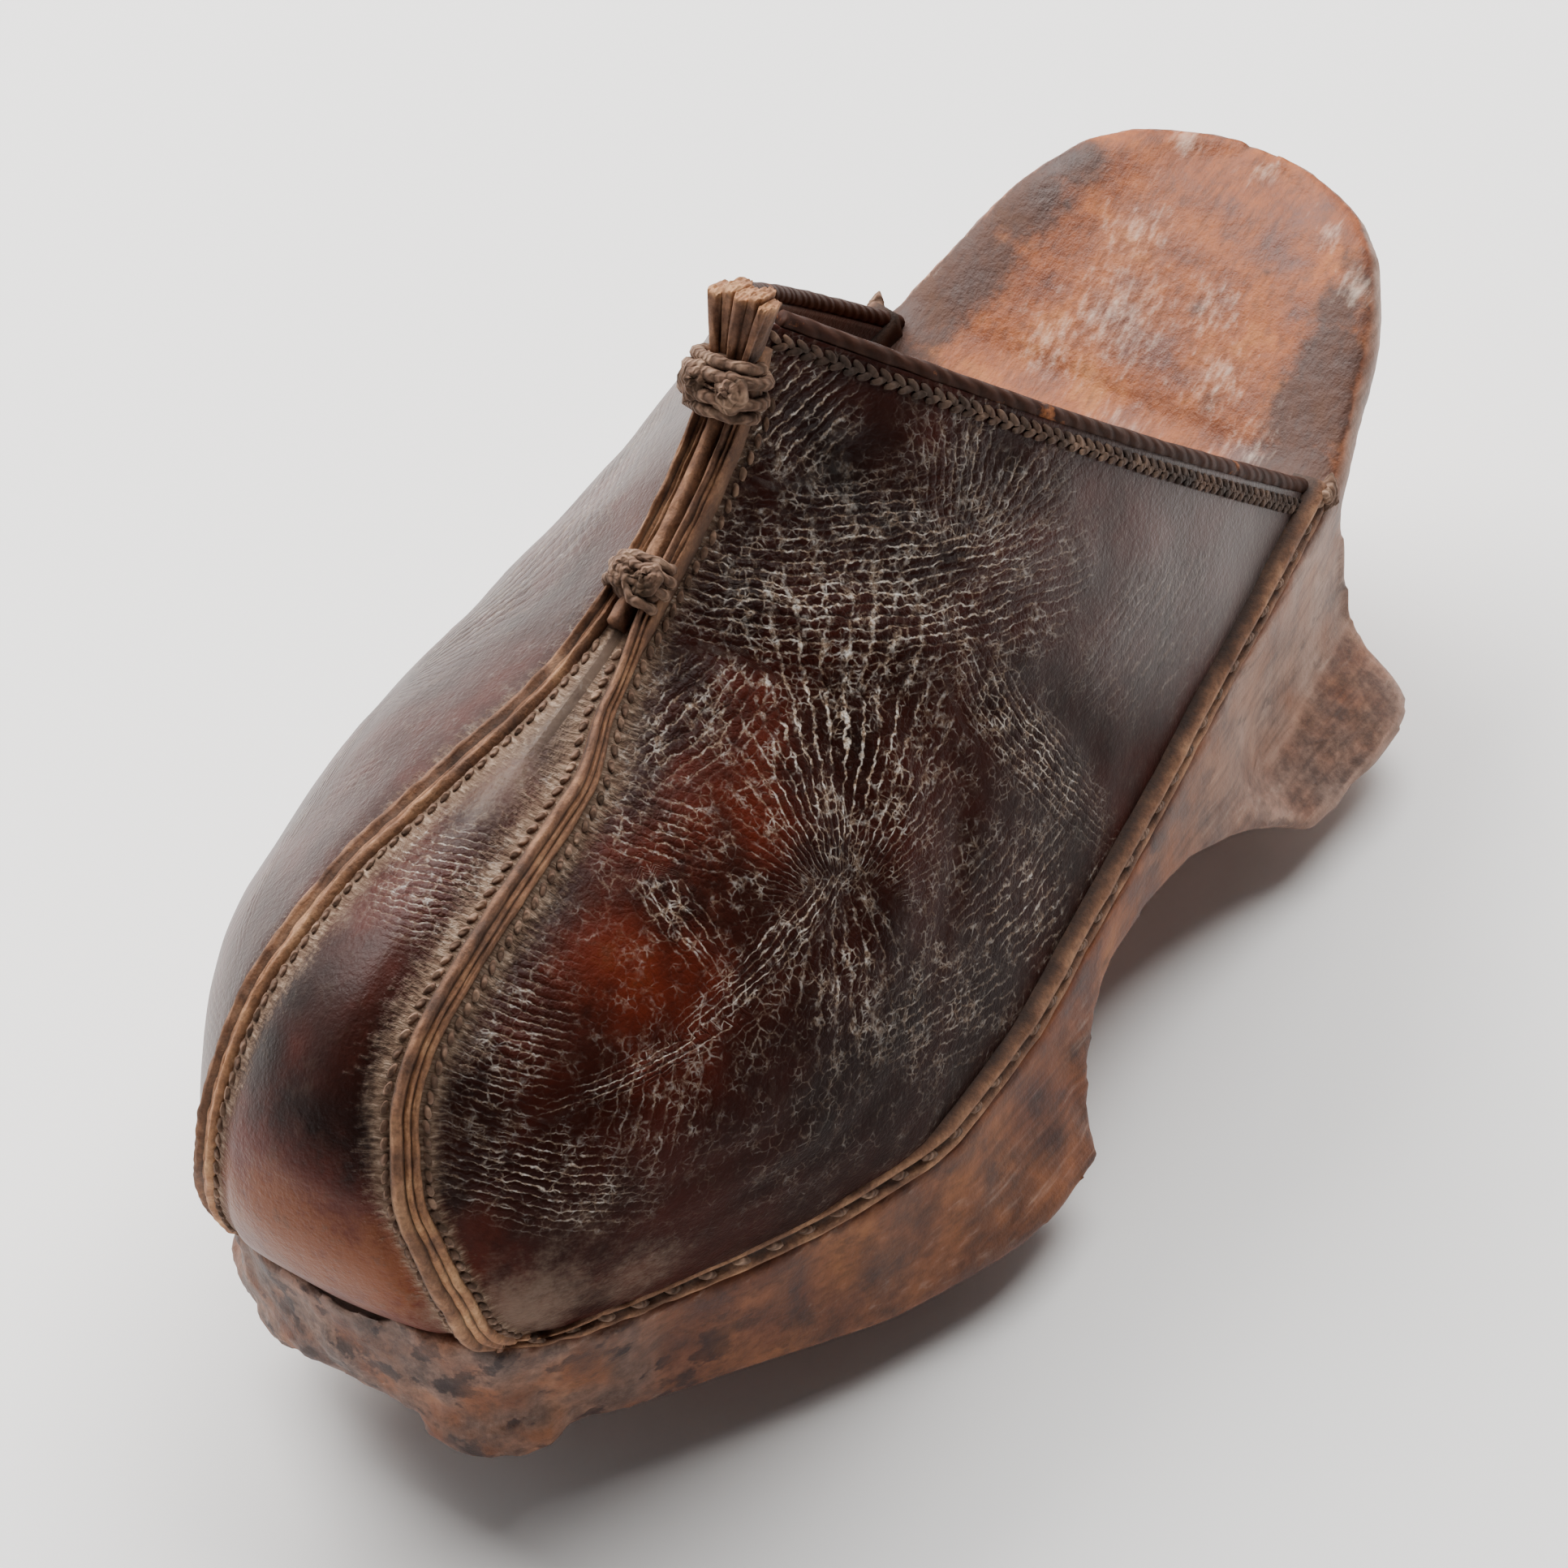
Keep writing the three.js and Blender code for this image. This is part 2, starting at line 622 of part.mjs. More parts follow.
// Raised seam from the instep's top to the toe's foot
function seamFrames(path, side) {
  const tailOffset = tailWidth + tailGap;
  const merge = [
    { hoop: tailEnd, across: tailOffset / ballWidth },
    { hoop: tailStart - 0.3, across: tailOffset / ballWidth },
    { hoop: tailStart, across: (tailOffset + 0.2) / ballWidth },
    ...path,
  ];
  const count = 27;
  const frames = [];
  for (let i = 0; i <= count; i += 1) {
    const number = THREE.MathUtils.lerp(tailEnd, path[path.length - 1].hoop, i / count);
    const distance = ballWidth * along(merge, "hoop", "across", number);
    const crown = crownFrame(number, side * distance);
    const quarter = quarterFrame(number, distance, side);
    const share = THREE.MathUtils.smoothstep(number, tailStart, tailStart + 0.9);
    const spread = THREE.MathUtils.smoothstep(number, tailStart, tailStart + 2);
    frames.push({
      centre: crown.centre.lerp(quarter.centre, share),
      normal: crown.normal.lerp(quarter.normal, share).normalize(),
      half: THREE.MathUtils.lerp(tailWidth, seamWidth, spread) / 2,
      high: seamHeight,
    });
  }
  frames.forEach((frame, i) => {
    const before = frames[Math.max(i - 1, 0)].centre;
    const after = frames[Math.min(i + 1, count)].centre;
    const forward = after.clone().sub(before).normalize();
    frame.sideways = new THREE.Vector3().crossVectors(frame.normal, forward).normalize();
    frame.normal = new THREE.Vector3().crossVectors(forward, frame.sideways).normalize();
  });
  return frames;
}

// Middle strip on the instep, the toe panel's tail
function tailFrames() {
  const frames = [];
  const count = 14;
  for (let i = 0; i <= count; i += 1) {
    const number = THREE.MathUtils.lerp(tailEnd, tailStart + 0.35, i / count);
    const crown = crownFrame(number, 0);
    frames.push({ ...crown, sideways: across.clone(), half: tailWidth / 2, high: seamHeight * 0.85 });
  }
  return frames;
}

// Strip along the leather's foot, from the collar's end to the seam's foot at the toe
const weltFrom = 0.02;
const weltTo = 9.5;
function weltFrames(side) {
  const frames = [];
  const count = 17;
  for (let i = 0; i <= count; i += 1) {
    const number = THREE.MathUtils.lerp(weltFrom, weltTo, i / count);
    const centre = leatherPoint(number, 1, side);
    const high = weltHeight * (1 - 0.25 * THREE.MathUtils.smoothstep(number, 8, weltTo));
    frames.push({ centre, half: high, high: weltThickness + clearance });
  }
  frames.forEach((frame, i) => {
    const before = frames[Math.max(i - 1, 0)].centre;
    const after = frames[Math.min(i + 1, count)].centre;
    const forward = after.clone().sub(before).normalize();
    frame.normal = new THREE.Vector3().crossVectors(forward, up).multiplyScalar(-side).normalize();
    frame.sideways = new THREE.Vector3().crossVectors(frame.normal, forward).multiplyScalar(side);
  });
  return frames;
}

function ball(centre, radii, axis) {
  const geometry = new THREE.SphereGeometry(1, 12, 8);
  geometry.scale(radii.x, radii.y, radii.z);
  if (axis) geometry.applyQuaternion(new THREE.Quaternion().setFromUnitVectors(up, axis));
  geometry.translate(centre.x, centre.y, centre.z);
  return solid(geometry);
}

// Rolled collar edge, lying on the leather's cut edge
function bindingSolid(side) {
  const back = new THREE.Vector3(-1, 0, 1).normalize();
  const edge = halfHoop(0, -wall / 2, side, 18).slice(1, -2);
  const rings = edge.map((point, i) => {
    const before = edge[Math.max(i - 1, 0)];
    const after = edge[Math.min(i + 1, edge.length - 1)];
    const forward = after.clone().sub(before).normalize();
    const outward = new THREE.Vector3().crossVectors(forward, back).normalize();
    const centre = point.clone().addScaledVector(back, bindingRadius + clearance);
    const ring = [];
    for (let k = 0; k < 8; k += 1) {
      const angle = ((k + 0.5) / 8) * 2 * Math.PI;
      const spoke = centre.clone().addScaledVector(outward, bindingRadius * Math.cos(angle));
      ring.push(spoke.addScaledVector(back, bindingRadius * Math.sin(angle)));
    }
    return ring;
  });
  return solid(loft(rings));
}

// Split end of the seam bundle, standing over the collar
function stubSolid(foot, direction, grow) {
  const fore = new THREE.Vector3().crossVectors(across, direction).normalize();
  const lobes = 4;
  const steps = 24;
  const ring = (share, wide, deep) => {
    const points = [];
    for (let i = 0; i < steps; i += 1) {
      const angle = (i / steps) * 2 * Math.PI;
      const y = Math.sign(Math.cos(angle)) * Math.abs(Math.cos(angle)) ** 0.6;
      const x = Math.sign(Math.sin(angle)) * Math.abs(Math.sin(angle)) ** 0.6;
      const lobe = 0.72 + 0.28 * Math.abs(Math.cos((y * lobes * Math.PI) / 2));
      const rough = share === 1 ? 0.07 * Math.cos(y * 5 + 1) : 0;
      const point = foot.clone().addScaledVector(direction, stubLength * (share + rough));
      point.addScaledVector(across, y * (wide / 2 + grow));
      points.push(point.addScaledVector(fore, x * lobe * (deep / 2 + grow)));
    }
    return points;
  };
  return solid(
    loft([
      ring(0, stubWidth * 0.72, stubDepth * 0.8),
      ring(0.45, stubWidth * 0.8, stubDepth * 0.9),
      ring(0.8, stubWidth * 0.95, stubDepth),
      ring(1, stubWidth, stubDepth * 1.1),
    ]),
  );
}

// Assembly
const overPlatform = belowPlatform(clearance, -treadWidth, treadWidth);
const grownLast = last(clearance, 0, hoopCount, 10);
const panelHalf = 0.15 * ballWidth;
const toeJoint = belowPlatform(toeGap, -panelHalf, panelHalf).intersect(aheadOf(0.9));
const upperSolid = last(0, 0, hoopCount, 10)
  .subtract(last(-wall, 5 * wall, hoopCount - 0.75, 9))
  .subtract(overPlatform)
  .subtract(toeJoint);

const trimmed = (piece) => piece.subtract(grownLast).subtract(overPlatform);
const seamSides = { left: [seamLeftPath, 1], right: [seamRightPath, -1] };
const seams = {};
const grownSeams = [];
for (const [name, [path, side]] of Object.entries(seamSides)) {
  const frames = seamFrames(path, side);
  seams[name] = trimmed(strip(frames, 0, stripRoot));
  grownSeams.push(strip(frames, clearance, stripRoot + 1));
}
const tail = trimmed(strip(tailFrames(), 0, stripRoot)).subtract(grownSeams[0]).subtract(grownSeams[1]);
const bundle = grownSeams[0].add(grownSeams[1]).add(strip(tailFrames(), clearance, stripRoot + 1));

// Knots round the seams: one where they part, one at the collar
const lowerKnotPlace = crownFrame(tailStart, 0);
const upperKnotPlace = crownFrame(upperKnotHoop, 0);
const stubFoot = crownFrame(stubHoop, 0);
const stubDirection = new THREE.Vector3(-0.36, 0, 0.93).normalize();
stubFoot.centre.addScaledVector(stubFoot.normal, seamHeight + 0.5);
const stub = trimmed(stubSolid(stubFoot.centre, stubDirection, 0)).subtract(bundle);
const grownStub = stubSolid(stubFoot.centre, stubDirection, clearance);

function knot(place, height, radii) {
  const centre = place.centre.clone().addScaledVector(place.normal, height);
  return trimmed(ball(centre, radii, place.normal)).subtract(bundle).subtract(grownStub);
}

const model = new THREE.Group();

const finishes = {
  leather: { color: 0x3a2220, roughness: 0.42, metalness: 0 },
  seam: { color: 0x6e4a33, roughness: 0.7, metalness: 0 },
  thread: { color: 0x6b5440, roughness: 0.9, metalness: 0 },
  binding: { color: 0x2a1714, roughness: 0.5, metalness: 0 },
  wood: { color: 0x9c6844, roughness: 0.75, metalness: 0 },
  iron: { color: 0x4a3028, roughness: 0.8, metalness: 0.6 },
};

function addPiece(name, manifold, finish) {
  const mesh = new THREE.Mesh(surface(manifold), new THREE.MeshStandardMaterial(finishes[finish]));
  mesh.name = name;
  model.add(mesh);
}

addPiece("sole", soleSolid(), "wood");
addPiece("upper", upperSolid, "leather");
addPiece("seam_left", seams.left, "seam");
addPiece("seam_right", seams.right, "seam");
addPiece("panel_tail", tail, "seam");
addPiece("knot_lower", knot(lowerKnotPlace, lowerKnotHeight, lowerKnotRadii), "thread");
addPiece("knot_upper", knot(upperKnotPlace, upperKnotHeight, upperKnotRadii), "thread");
addPiece("seam_stub", stub, "seam");
for (const [name, side] of [["left", 1], ["right", -1]]) {
  const end = leatherPoint(weltFrom, 1, side).add(new THREE.Vector3(0, side * 0.4 * weltKnot, 0.6 * weltKnot));
  const endKnot = ball(end, { x: weltKnot, y: weltKnot, z: weltKnot });
  const weltPiece = trimmed(strip(weltFrames(side), 0, stripRoot).add(endKnot));
  addPiece(`welt_${name}`, weltPiece, "seam");
  const grownWelt = strip(weltFrames(side), clearance, stripRoot);
  const binding = bindingSolid(side).subtract(grownStub).subtract(bundle).subtract(grownWelt);
  const grownEnd = ball(end, { x: weltKnot + clearance, y: weltKnot + clearance, z: weltKnot + clearance });
  addPiece(`collar_binding_${name}`, binding.subtract(grownEnd), "binding");
}
for (const blade of blades) addPiece(blade.name, bladeSolid(blade), "iron");

// Origin: middle of the footprint, on the plane that the blades stand on
const extent = new THREE.Box3().setFromObject(model);
const middle = extent.getCenter(new THREE.Vector3());
model.position.set(-middle.x, -middle.y, -extent.min.z);

export default model;
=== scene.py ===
# A backless leather ice shoe on a carved wooden sole, with iron blades under its two blocks.
# Metres. +X runs to the toe, +Y to the wearer's left, +Z up, and the blades stand on z = 0.
# The sizes in each section are in millimetres and are turned to metres where a mesh is made.
import json
import math

import bpy
import numpy as np
from mathutils import Euler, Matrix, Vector, noise
from mathutils.bvhtree import BVHTree

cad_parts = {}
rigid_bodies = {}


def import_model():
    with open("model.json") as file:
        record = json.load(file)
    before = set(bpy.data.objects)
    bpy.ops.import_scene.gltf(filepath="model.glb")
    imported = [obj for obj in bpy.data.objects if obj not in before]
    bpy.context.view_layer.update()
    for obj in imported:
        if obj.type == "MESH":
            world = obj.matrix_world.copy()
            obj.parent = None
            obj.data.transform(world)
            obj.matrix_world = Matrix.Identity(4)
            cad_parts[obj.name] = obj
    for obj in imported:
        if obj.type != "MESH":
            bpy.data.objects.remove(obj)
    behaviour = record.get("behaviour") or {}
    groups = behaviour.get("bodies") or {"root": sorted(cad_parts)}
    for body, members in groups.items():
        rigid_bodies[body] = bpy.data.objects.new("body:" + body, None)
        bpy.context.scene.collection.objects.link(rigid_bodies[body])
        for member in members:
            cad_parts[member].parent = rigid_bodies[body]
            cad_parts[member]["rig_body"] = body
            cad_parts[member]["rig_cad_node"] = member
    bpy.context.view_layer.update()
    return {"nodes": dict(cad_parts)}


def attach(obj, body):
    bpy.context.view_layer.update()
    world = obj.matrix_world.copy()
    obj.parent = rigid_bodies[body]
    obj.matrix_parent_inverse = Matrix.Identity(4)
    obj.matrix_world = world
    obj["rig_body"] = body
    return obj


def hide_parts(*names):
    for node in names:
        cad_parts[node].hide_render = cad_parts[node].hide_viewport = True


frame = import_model()
MM = 0.001

# Camera: the photograph's standing point, above the toe on the wearer's left, looking down at 46
# degrees. Only its aim and its lens differ, so that the one shoe fills the picture.
bpy.ops.object.select_all(action="DESELECT")
bpy.ops.object.camera_add(
    location=(0.6719, 0.4538, 0.8514),
    rotation=Euler([math.radians(a) for a in (44.781, 1.7906, 122.5365)]),
)
camera = bpy.context.object
camera.data.sensor_width = 36
camera.data.lens = 189.6
camera.data.clip_start = 0.05
camera.data.clip_end = 20
bpy.context.scene.camera = camera


# Wooden sole: one block of close-grained hardwood, carved with a knife and gouge into a platform on
# two blocks. Bare and much worn: reddish footbed, brown flanks, dark stains, pale scuffs.
# It stands for the frame's sole, with its arrises rounded by wear.
LENGTH = 247
BALL_WIDTH = 101
SOLE_VOXEL = 1.15
CARVING_DEPTH = 0.225
TOE_ROUGHNESS = 0.55
HEEL_CENTRE = -90
HEEL_TOP = 60.7
# x, y, z, radius, depth: knocks and chips on edges and faces
SOLE_DENTS = [
    (-79, 44, 20, 7, 1.0), (-60, 52, 12, 6, 1.1), (-78, -40, 22, 8, 0.9), (-44, 41, 38, 6, 0.8),
    (66, 44, 26, 7, 0.9), (88, 33, 26, 8, 1.2), (104, 22, 30, 7, 1.4), (110, -10, 30, 8, 1.2),
    (96, -30, 28, 7, 1.1), (116, 4, 38, 4, 0.8), (108, 20, 38, 4, 0.9), (60, 56, 12, 7, 1.1),
    (25, 60, 12, 6, 1.2),
]
# x, y, radius, strength, seen from above: dark stains and pale scuffs on the footbed
STAINS = [
    (-95, 28, 6, 1.0), (-88, 29, 8, 1.0), (-78, 31, 9, 0.9), (-102, 25, 5, 0.8), (-66, 33, 9, 0.7),
    (-100, -27, 8, 0.85), (-89, -30, 9, 0.9), (-82, -34, 10, 0.9), (-108, -22, 6, 0.7),
    (-70, -34, 12, 0.8), (-96, 5, 2.0, 0.55), (-84, 14, 2.5, 0.5), (-76, 4, 2.0, 0.45),
    (-104, 12, 1.6, 0.5), (-70, -8, 2.4, 0.5),
]
SCUFFS = [
    (-119, -10, 3, 0.4), (-119, 3, 2.5, 0.35), (-106, 26, 3.5, 0.4), (-112, 18, 2.5, 0.35),
    (-102, -9, 8, 0.27), (-91, -5, 10, 0.28), (-88, 13, 7, 0.27), (-96, 7, 6, 0.25),
    (-84, -12, 7, 0.26), (-80, 22, 6, 0.26), (-74, 4, 8, 0.24),
]


def linear(hex_colour):
    """sRGB hex to the linear colour that a shader socket takes."""
    parts = [int(hex_colour[i : i + 2], 16) / 255 for i in (1, 3, 5)]
    return [p / 12.92 if p <= 0.04045 else ((p + 0.055) / 1.055) ** 2.4 for p in parts] + [1.0]


def new_material(name):
    """An empty node material, and the place on the object that its patterns are laid by."""
    material = bpy.data.materials.new(name)
    material.use_nodes = True
    material.node_tree.nodes.clear()
    return material, (node(material, "TexCoord"), 3)


def node(material, kind, settings=None, **links):
    """Adds one node. Its kind comes without ShaderNode, and its settings are its properties, with
    "stops" for a colour ramp's (place, hex colour or grey value). Links are its inputs: a value, a
    hex colour, a node or (node, output). _ stands for a space, and input_2 is socket number 2."""
    made = material.node_tree.nodes.new("ShaderNode" + kind)
    for key, value in (settings or {}).items():
        if key != "stops":
            setattr(made, key, value)
            continue
        elements = made.color_ramp.elements
        elements.remove(elements[0])
        for i, (place, colour) in enumerate(value):
            element = elements[0] if i == 0 else elements.new(place)
            element.position = place
            element.color = linear(colour) if isinstance(colour, str) else [colour] * 3 + [1]
    for key, value in links.items():
        socket = made.inputs[int(key[6:]) if key.startswith("input_") else key.replace("_", " ")]
        if isinstance(value, bpy.types.Node):
            value = (value, 0)
        if isinstance(value, tuple) and isinstance(value[0], bpy.types.Node):
            material.node_tree.links.new(value[0].outputs[value[1]], socket)
        else:
            socket.default_value = linear(value) if isinstance(value, str) else value
    return made


COLOURS = {"data_type": "RGBA"}
MULTIPLY = {"operation": "MULTIPLY"}
MULTIPLY_ADD = {"operation": "MULTIPLY_ADD"}
SOFT_STEP = {"interpolation_type": "SMOOTHSTEP"}


def close_material(material, relief, strength, depth, **looks):
    """The last of a material: its relief (depth in millimetres), its shader and its output."""
    bump = node(material, "Bump", Strength=strength, Distance=depth * MM, Height=relief)
    shader = node(material, "BsdfPrincipled", Normal=bump, **looks)
    node(material, "OutputMaterial", Surface=shader)
    return material


def smooth_rise(low, high, value):
    """0 at low, 1 at high, and a soft step between them."""
    share = np.clip((np.asarray(value) - low) / (high - low), 0, 1)
    return share * share * (3 - 2 * share)


def points_of(piece, key="co", scale=MM):
    """A mesh's points in millimetres, or another vector that each of them holds."""
    flat = np.empty(len(piece.data.vertices) * 3)
    piece.data.vertices.foreach_get(key, flat)
    return flat.reshape(-1, 3) / scale


def move_points(piece, points):
    piece.data.vertices.foreach_set("co", (np.asarray(points) * MM).ravel())
    piece.data.update()


def paint(piece, name, values):
    """Stores one value per point, for the piece's material."""
    layer = piece.data.attributes.new(name, "FLOAT", "POINT")
    layer.data.foreach_set("value", np.asarray(values, np.float32))


def cloudy(points, size, seed, depth=3):
    """Smooth noise from about -1 to 1 at each point, with features of a size in millimetres."""
    shift = Vector((seed * 7.31, seed * 3.17, seed * 5.53))
    return np.array(
        [noise.fractal(Vector(p) / size + shift, 0.6, 2.0, depth) for p in points.tolist()]
    )


def spots(points, places):
    """How far each point lies inside soft round spots: (x, y, z, radius, strength), or without z
    where they are seen from above."""
    total = np.zeros(len(points))
    for *place, radius, strength in places:
        away = np.linalg.norm(points[:, : len(place)] - place, axis=1) / radius
        total = np.maximum(total, strength * np.exp(-away * away))
    return total


def select_only(piece):
    bpy.ops.object.select_all(action="DESELECT")
    piece.select_set(True)
    bpy.context.view_layer.objects.active = piece


def work_mesh(piece, work, **settings):
    """Does one mesh operation on the whole of a piece."""
    select_only(piece)
    bpy.ops.object.mode_set(mode="EDIT")
    bpy.ops.mesh.select_all(action="SELECT")
    work(**settings)
    bpy.ops.object.mode_set(mode="OBJECT")


def apply_modifier(piece, kind, **settings):
    select_only(piece)
    made = piece.modifiers.new(kind.lower(), kind)
    for key, value in settings.items():
        setattr(made, key, value)
    bpy.ops.object.modifier_apply(modifier=made.name)


def worked_copy(node_name, name, voxel, softening):
    """A copy of a frame node with even small faces and its sharp edges eased."""
    piece = frame["nodes"][node_name].copy()
    piece.data = frame["nodes"][node_name].data.copy()
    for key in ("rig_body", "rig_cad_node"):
        del piece[key]
    piece.parent = None
    piece.name = name
    bpy.context.scene.collection.objects.link(piece)
    work_mesh(piece, bpy.ops.mesh.remove_doubles, threshold=1e-6)
    apply_modifier(piece, "REMESH", mode="VOXEL", voxel_size=voxel * MM)
    apply_modifier(piece, "SMOOTH", factor=0.5, iterations=softening)
    return piece


def finish_piece(piece, material, slot_name, *replaced):
    select_only(piece)
    bpy.ops.object.shade_smooth()
    piece.data.materials.clear()
    piece.data.materials.append(material)
    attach(piece, "root")
    if replaced:
        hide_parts(*replaced)


# Worn hardwood, oiled by feet and stained by iron: IOR 1.5, roughness 0.52 to 0.74, fine dark grain
# lines about 1 mm apart that run from heel to toe, slightly slanted.
def hardwood():
    wood, place = new_material("worn_hardwood")
    slant = (0.0, math.radians(6), math.radians(-9))
    with_grain = node(wood, "Mapping", Vector=place, Rotation=slant, Scale=(60.0, 900.0, 900.0))
    slant = (0.0, 0.3, 0.9)
    smear = node(wood, "Mapping", Vector=place, Rotation=slant, Scale=(90.0, 210.0, 210.0))
    grain, mottle, speck, blotch = [
        node(wood, "TexNoise", Vector=where, Scale=scale, Detail=detail, Roughness=rough)
        for where, scale, detail, rough in (
            (with_grain, 1.0, 5.0, 0.6),
            (place, 95.0, 6.0, 0.65),
            (place, 420.0, 4.0, 0.7),
            (smear, 1.0, 4.0, 0.6),
        )
    ]
    painted = {
        name: (node(wood, "Attribute", {"attribute_name": name}), 2)
        for name in ("footbed", "bare", "faded", "stain", "scuff", "grime")
    }
    flank, bed, raw, grey, rough = [
        node(wood, "ValToRGB", {"stops": stops}, Fac=mottle)
        for stops in (
            [(0.3, "#331a12"), (0.44, "#532e20"), (0.55, "#6b3d28"), (0.7, "#875339")],
            [(0.34, "#622c10"), (0.46, "#804017"), (0.56, "#965123"), (0.68, "#ab6a39")],
            [(0.32, "#6c3f25"), (0.5, "#8f5833"), (0.66, "#a76d42")],
            [(0.34, "#83695c"), (0.5, "#a18475"), (0.66, "#b29687")],
            [(0.3, 0.52), (0.7, 0.74)],
        )
    ]
    lines = node(wood, "ValToRGB", {"stops": [(0.36, 0.55), (0.5, 1.0), (0.62, 1.06)]}, Fac=grain)
    # Stains and scuffs get ragged edges from the specks and the grain, and grime comes in blotches
    stained, scuffed, relief = [
        node(wood, "Math", MULTIPLY_ADD, input_0=pattern, input_1=amount, input_2=under)
        for pattern, amount, under in (
            (speck, 0.55, painted["stain"]),
            (grain, 0.9, painted["scuff"]),
            (grain, 0.5, speck),
        )
    ]
    stained, scuffed, blotched = [
        node(wood, "MapRange", SOFT_STEP, Value=source, From_Min=low, From_Max=high, To_Max=top)
        for source, low, high, top in (
            (stained, 0.5, 0.92, 0.85),
            (scuffed, 0.58, 1.0, 0.5),
            (blotch, 0.53, 0.6, 1.0),
        )
    ]
    grimy = node(wood, "Math", MULTIPLY, input_0=blotched, input_1=painted["grime"])
    colour = flank
    for share, tone, blend in (
        (painted["footbed"], bed, "MIX"),
        (painted["bare"], raw, "MIX"),
        (painted["faded"], grey, "MIX"),
        (0.65, lines, "MULTIPLY"),
        (stained, "#2e1a14", "MIX"),
        (scuffed, "#dcc6b4", "MIX"),
        (grimy, "#2a1715", "MIX"),
    ):
        settings = {"data_type": "RGBA", "blend_type": blend}
        colour = (node(wood, "Mix", settings, input_0=share, input_6=colour, input_7=tone), 2)
    return close_material(wood, relief, 0.55, 0.6, Base_Color=colour, Roughness=rough, IOR=1.5)


# The heel's rim is worn to one smooth round: its reach and its height are evened out by sectors
sole = worked_copy("sole", "wooden_sole", SOLE_VOXEL, 3)
points = points_of(sole)
radius = np.hypot(points[:, 0] - HEEL_CENTRE, points[:, 1])
angle = np.degrees(np.arctan2(points[:, 1], HEEL_CENTRE - points[:, 0]))
heel_rim = (points[:, 2] > 46) & (np.abs(angle) < 100)
middles = np.arange(-96, 97, 3)
sectors = [heel_rim & (np.abs(angle - middle) < 2.5) for middle in middles]
reach = np.array([radius[sector].max() for sector in sectors])
tops = np.array([points[sector, 2].max() for sector in sectors])
raised = np.where(np.abs(middles) < 12, HEEL_TOP - tops, 0)
soft = np.hanning(13)[1:-1] / np.hanning(13).sum()
even = np.convolve(np.pad(reach, 5, mode="edge"), soft, mode="valid")
share = np.interp(np.abs(angle), [60, 90], [1, 0]) * (points[:, 2] > 38)
share *= smooth_rise(0.75, 1.0, radius / np.interp(angle, middles, reach))
stretch = 1 + (np.interp(angle, middles, even / reach) - 1) * share
points[:, 0] = HEEL_CENTRE + (points[:, 0] - HEEL_CENTRE) * stretch
points[:, 1] *= stretch
points[:, 2] += np.interp(angle, middles, raised) * share * smooth_rise(52, 58, points[:, 2])

# Knife marks over the whole sole, calmer on the heel, with knocks, chips and a rough toe
x, y, z = points.T
facing = points_of(sole, "normal", 1)
calm = 0.25 + 0.75 * smooth_rise(-70, -40, x)
shape = points + facing * (CARVING_DEPTH * calm * cloudy(points, 22, 1, 2))[:, None]
for *place, radius, depth in SOLE_DENTS:
    away = np.linalg.norm(points - place, axis=1) / radius
    shape -= facing * (depth * np.exp(-away * away * 2))[:, None]
rough_toe = smooth_rise(84, 104, x) * (facing[:, 2] < 0.5)
shape += facing * (TOE_ROUGHNESS * rough_toe * cloudy(points, 5, 2))[:, None]
move_points(sole, shape)

# Footbed, stains (most along its rim), bare and faded flanks, grime and scuffs
upward = smooth_rise(0.55, 0.85, facing[:, 2])
cloud = cloudy(points, 9, 3)
half_width = BALL_WIDTH * np.interp(
    x / LENGTH + 0.5, [0, 0.02, 0.08, 0.18, 0.34, 0.6], [0.1, 0.2, 0.3, 0.376, 0.424, 0.5]
)
at_rim = smooth_rise(0.56, 0.9, np.abs(y) / half_width + 0.2 * cloud) * smooth_rise(-119, -108, x)
stain = upward * np.maximum(at_rim * np.where(y < 0, 0.62, 0.5), spots(points, STAINS))
flank_stain = 0.08 + 0.2 * smooth_rise(-30, 20, x) + 0.2 * cloud
toe_stain = smooth_rise(80, 100, x) * (0.42 + 0.25 * cloud)
stain = np.maximum(stain, (1 - upward) * np.maximum(flank_stain, toe_stain))
flank = np.maximum(1 - upward, smooth_rise(42, 36, z))
faded = 0.85 * smooth_rise(0, -62, x) * (0.75 + 0.5 * cloud)
faded = faded + 0.7 * smooth_rise(84, 104, x) * (0.6 + cloud)
edge_wear = (1 - smooth_rise(0.1, 0.5, np.abs(np.abs(facing[:, 2]) - 0.5))) * 0.12
grime = (1 - upward) * (0.12 + 0.68 * smooth_rise(66, 92, x) + 0.5 * cloud)
paint(sole, "footbed", upward * smooth_rise(52, 34, x))
paint(sole, "stain", stain)
paint(sole, "bare", np.clip((1 - upward) * (0.28 + 0.5 * cloudy(points, 14, 4)), 0, 1))
paint(sole, "faded", flank * np.clip(faded, 0, 1))
paint(sole, "grime", np.clip(grime, 0, 0.9))
paint(sole, "scuff", np.maximum(upward * spots(points, SCUFFS), edge_wear))
finish_piece(sole, hardwood(), "wood", "sole")


# Iron blades: four flat forged spikes driven into the two blocks. Brown and orange rust over pitted
# grey iron, rubbed to bare metal at the tips.
BLADE_VOXEL = 0.7
BLADE_PITTING = 0.28


